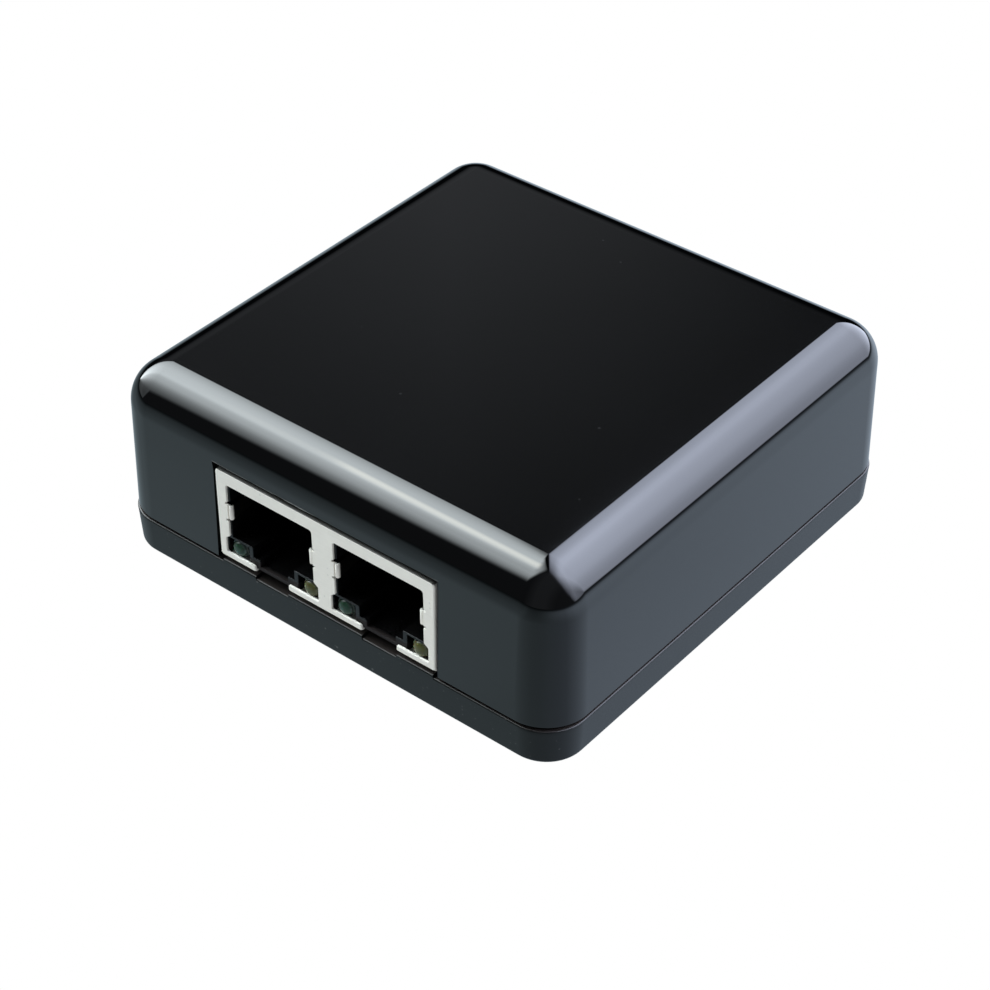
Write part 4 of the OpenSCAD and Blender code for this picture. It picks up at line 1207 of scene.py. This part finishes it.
def warm_streak(sky):
    """Short bright streak on the left."""
    light = sky.roll.steps([(-13, 0), (-9.5, 2.5), (-5.4, 4.5), (-1.4, 4.2), (2.7, 2.4),
                            (6.7, 0.3), (9, 0)])
    return light * sky.x.steps([
        (-0.60, 0.0), (-0.575, 0.14), (-0.552, 0.2), (-0.546, 0.35), (-0.539, 1), (-0.42, 1),
        (-0.3, 0)])


def right_softbox(sky):
    light = sky.swing.steps([
        (0.9, 0), (2.1, 3.5), (4, 5.0), (6.4, 5.6), (9.5, 6.2), (13, 7.1), (18.4, 8.5), (25, 9.0),
        (32, 8.4), (40, 7.95), (49, 7.6), (58, 6.9), (67, 5.6), (77, 4.5), (90, 3.6)])
    # (swing, pitch where it stops)
    stop = sky.swing.steps([(0, 1), (3, 4), (13, 16), (29.5, 36), (49, 64), (57.5, 85),
                            (65, 110)])
    light = light * (sky.pitch - stop).steps([
        (-37, 1.0), (-30, 0.88), (-24, 0.78), (-18, 0.68), (-10, 0.44), (-5, 0.27), (-2, 0.12),
        (1, 0.03), (6, 0)])
    light = light * sky.pitch.steps([(8, 1.0), (16, 0.85), (29, 0.62), (45, 0.42), (85, 0.40)])
    light = light * sky.y.steps([(0.62, 1.0), (0.655, 0.87), (0.69, 0.80), (0.715, 0.74)])
    # its left edge, slightly slanted
    slant = sky.side + sky.y * -4.0 + 2.6
    return light * slant.steps([(-36.0, 0), (-35.2, 0.8), (-34, 1.0)])


def back_room(sky):
    """Dim light from behind the case."""
    light = sky.pitch.steps([(-75, 0.0), (-66, 0.27), (-60, 0.33), (-57.4, 0.28), (-49, 0.075),
                             (-44, 0.01), (-30, 0.0)])
    return light * sky.swing.steps([
        (-30, 0.3), (-15, 0.55), (-7, 0.72), (-1, 1.0), (3, 0.75), (7, 0.36), (12, 0.1),
        (20, 0.0)])


def front_room(sky):
    """Faint light from the camera's side."""
    light = sky.pitch.steps([(-8, 0), (6, 0.13), (60, 0.13)])
    return light * sky.x.steps([(-0.3, 0.6), (0.1, 1.5), (0.5, 1.5), (0.8, 0.8)])


def studio(sky):
    """Red, green and blue light from a direction: a softbox to the left and one to the right of
    the case, dark over the camera and at the horizon."""
    above = sky.z.smooth(0.0, 0.05)      # no lamps below the horizon
    lamps = [lamp(sky) * above for lamp in (left_softbox, warm_streak, right_softbox, back_room)]
    room = front_room(sky)

    def total(tints):
        first, *others = [lamp * tint for lamp, tint in zip(lamps, tints)]
        for other in others:
            first = first + other
        return first

    # share of each lamp, in the order above
    red = total((0.915, 1.06, 0.90, 0.95))
    green = total((1.0, 1.0, 0.98, 1.0))
    blue = total((1.035, 0.80, 1.20, 1.07))
    return red + room * 0.95, green + room, blue + room * 1.1


def build_world():
    world = bpy.data.worlds.new("studio")
    scene.world = world
    graph = Graph(world)
    direction = graph.axes(graph.signal("ShaderNodeTexCoord", "Generated"))
    light = graph.signal("ShaderNodeCombineXYZ", 0, dict(enumerate(studio(Sky(*direction)))))
    camera_ray = graph.signal("ShaderNodeLightPath", "Is Camera Ray")
    light = graph.mix_light(camera_ray, light, (1.0, 1.0, 1.0))   # plain white to the camera
    background = graph.signal("ShaderNodeBackground", 0, {"Color": light})
    graph.finish(background, "ShaderNodeOutputWorld")


build_world()
scene.view_settings.view_transform = "Standard"
scene.view_settings.look = "None"
scene.view_settings.exposure = 0.0
scene.view_settings.gamma = 1.0

# ------------------------------------------------------------------ camera
AZIMUTH = math.radians(38.872)           # from the front towards the right
ELEVATION = math.radians(38.391)
ROLL = math.radians(0.209)
AIM_Z = 11.8271295                       # height it is set out from, on the axis of the case
DISTANCE = 285.8771901
SHIFT_RIGHT, SHIFT_UP = -1.45518606, -7.45757904      # sideways moves in its own axes


def build_camera():
    back = Vector((math.sin(AZIMUTH) * math.cos(ELEVATION),
                   -math.cos(AZIMUTH) * math.cos(ELEVATION), math.sin(ELEVATION)))
    level = Vector((math.cos(AZIMUTH), math.sin(AZIMUTH), 0.0))
    upright = back.cross(level)
    right = math.cos(ROLL) * level + math.sin(ROLL) * upright
    up = -math.sin(ROLL) * level + math.cos(ROLL) * upright
    spot = Vector((0, 0, LIFT + AIM_Z)) + back * DISTANCE + right * SHIFT_RIGHT + up * SHIFT_UP
    data = bpy.data.cameras.new("camera")
    data.lens = 92.79
    data.sensor_width = 36.0
    data.sensor_fit = "HORIZONTAL"
    data.clip_start = 0.01
    data.clip_end = 20.0
    camera = bpy.data.objects.new("camera", data)
    scene.collection.objects.link(camera)
    turn = Matrix((right, up, back)).transposed().to_4x4()
    camera.matrix_world = Matrix.Translation(spot / 1000) @ turn
    scene.camera = camera


build_camera()

bpy.context.view_layer.update()
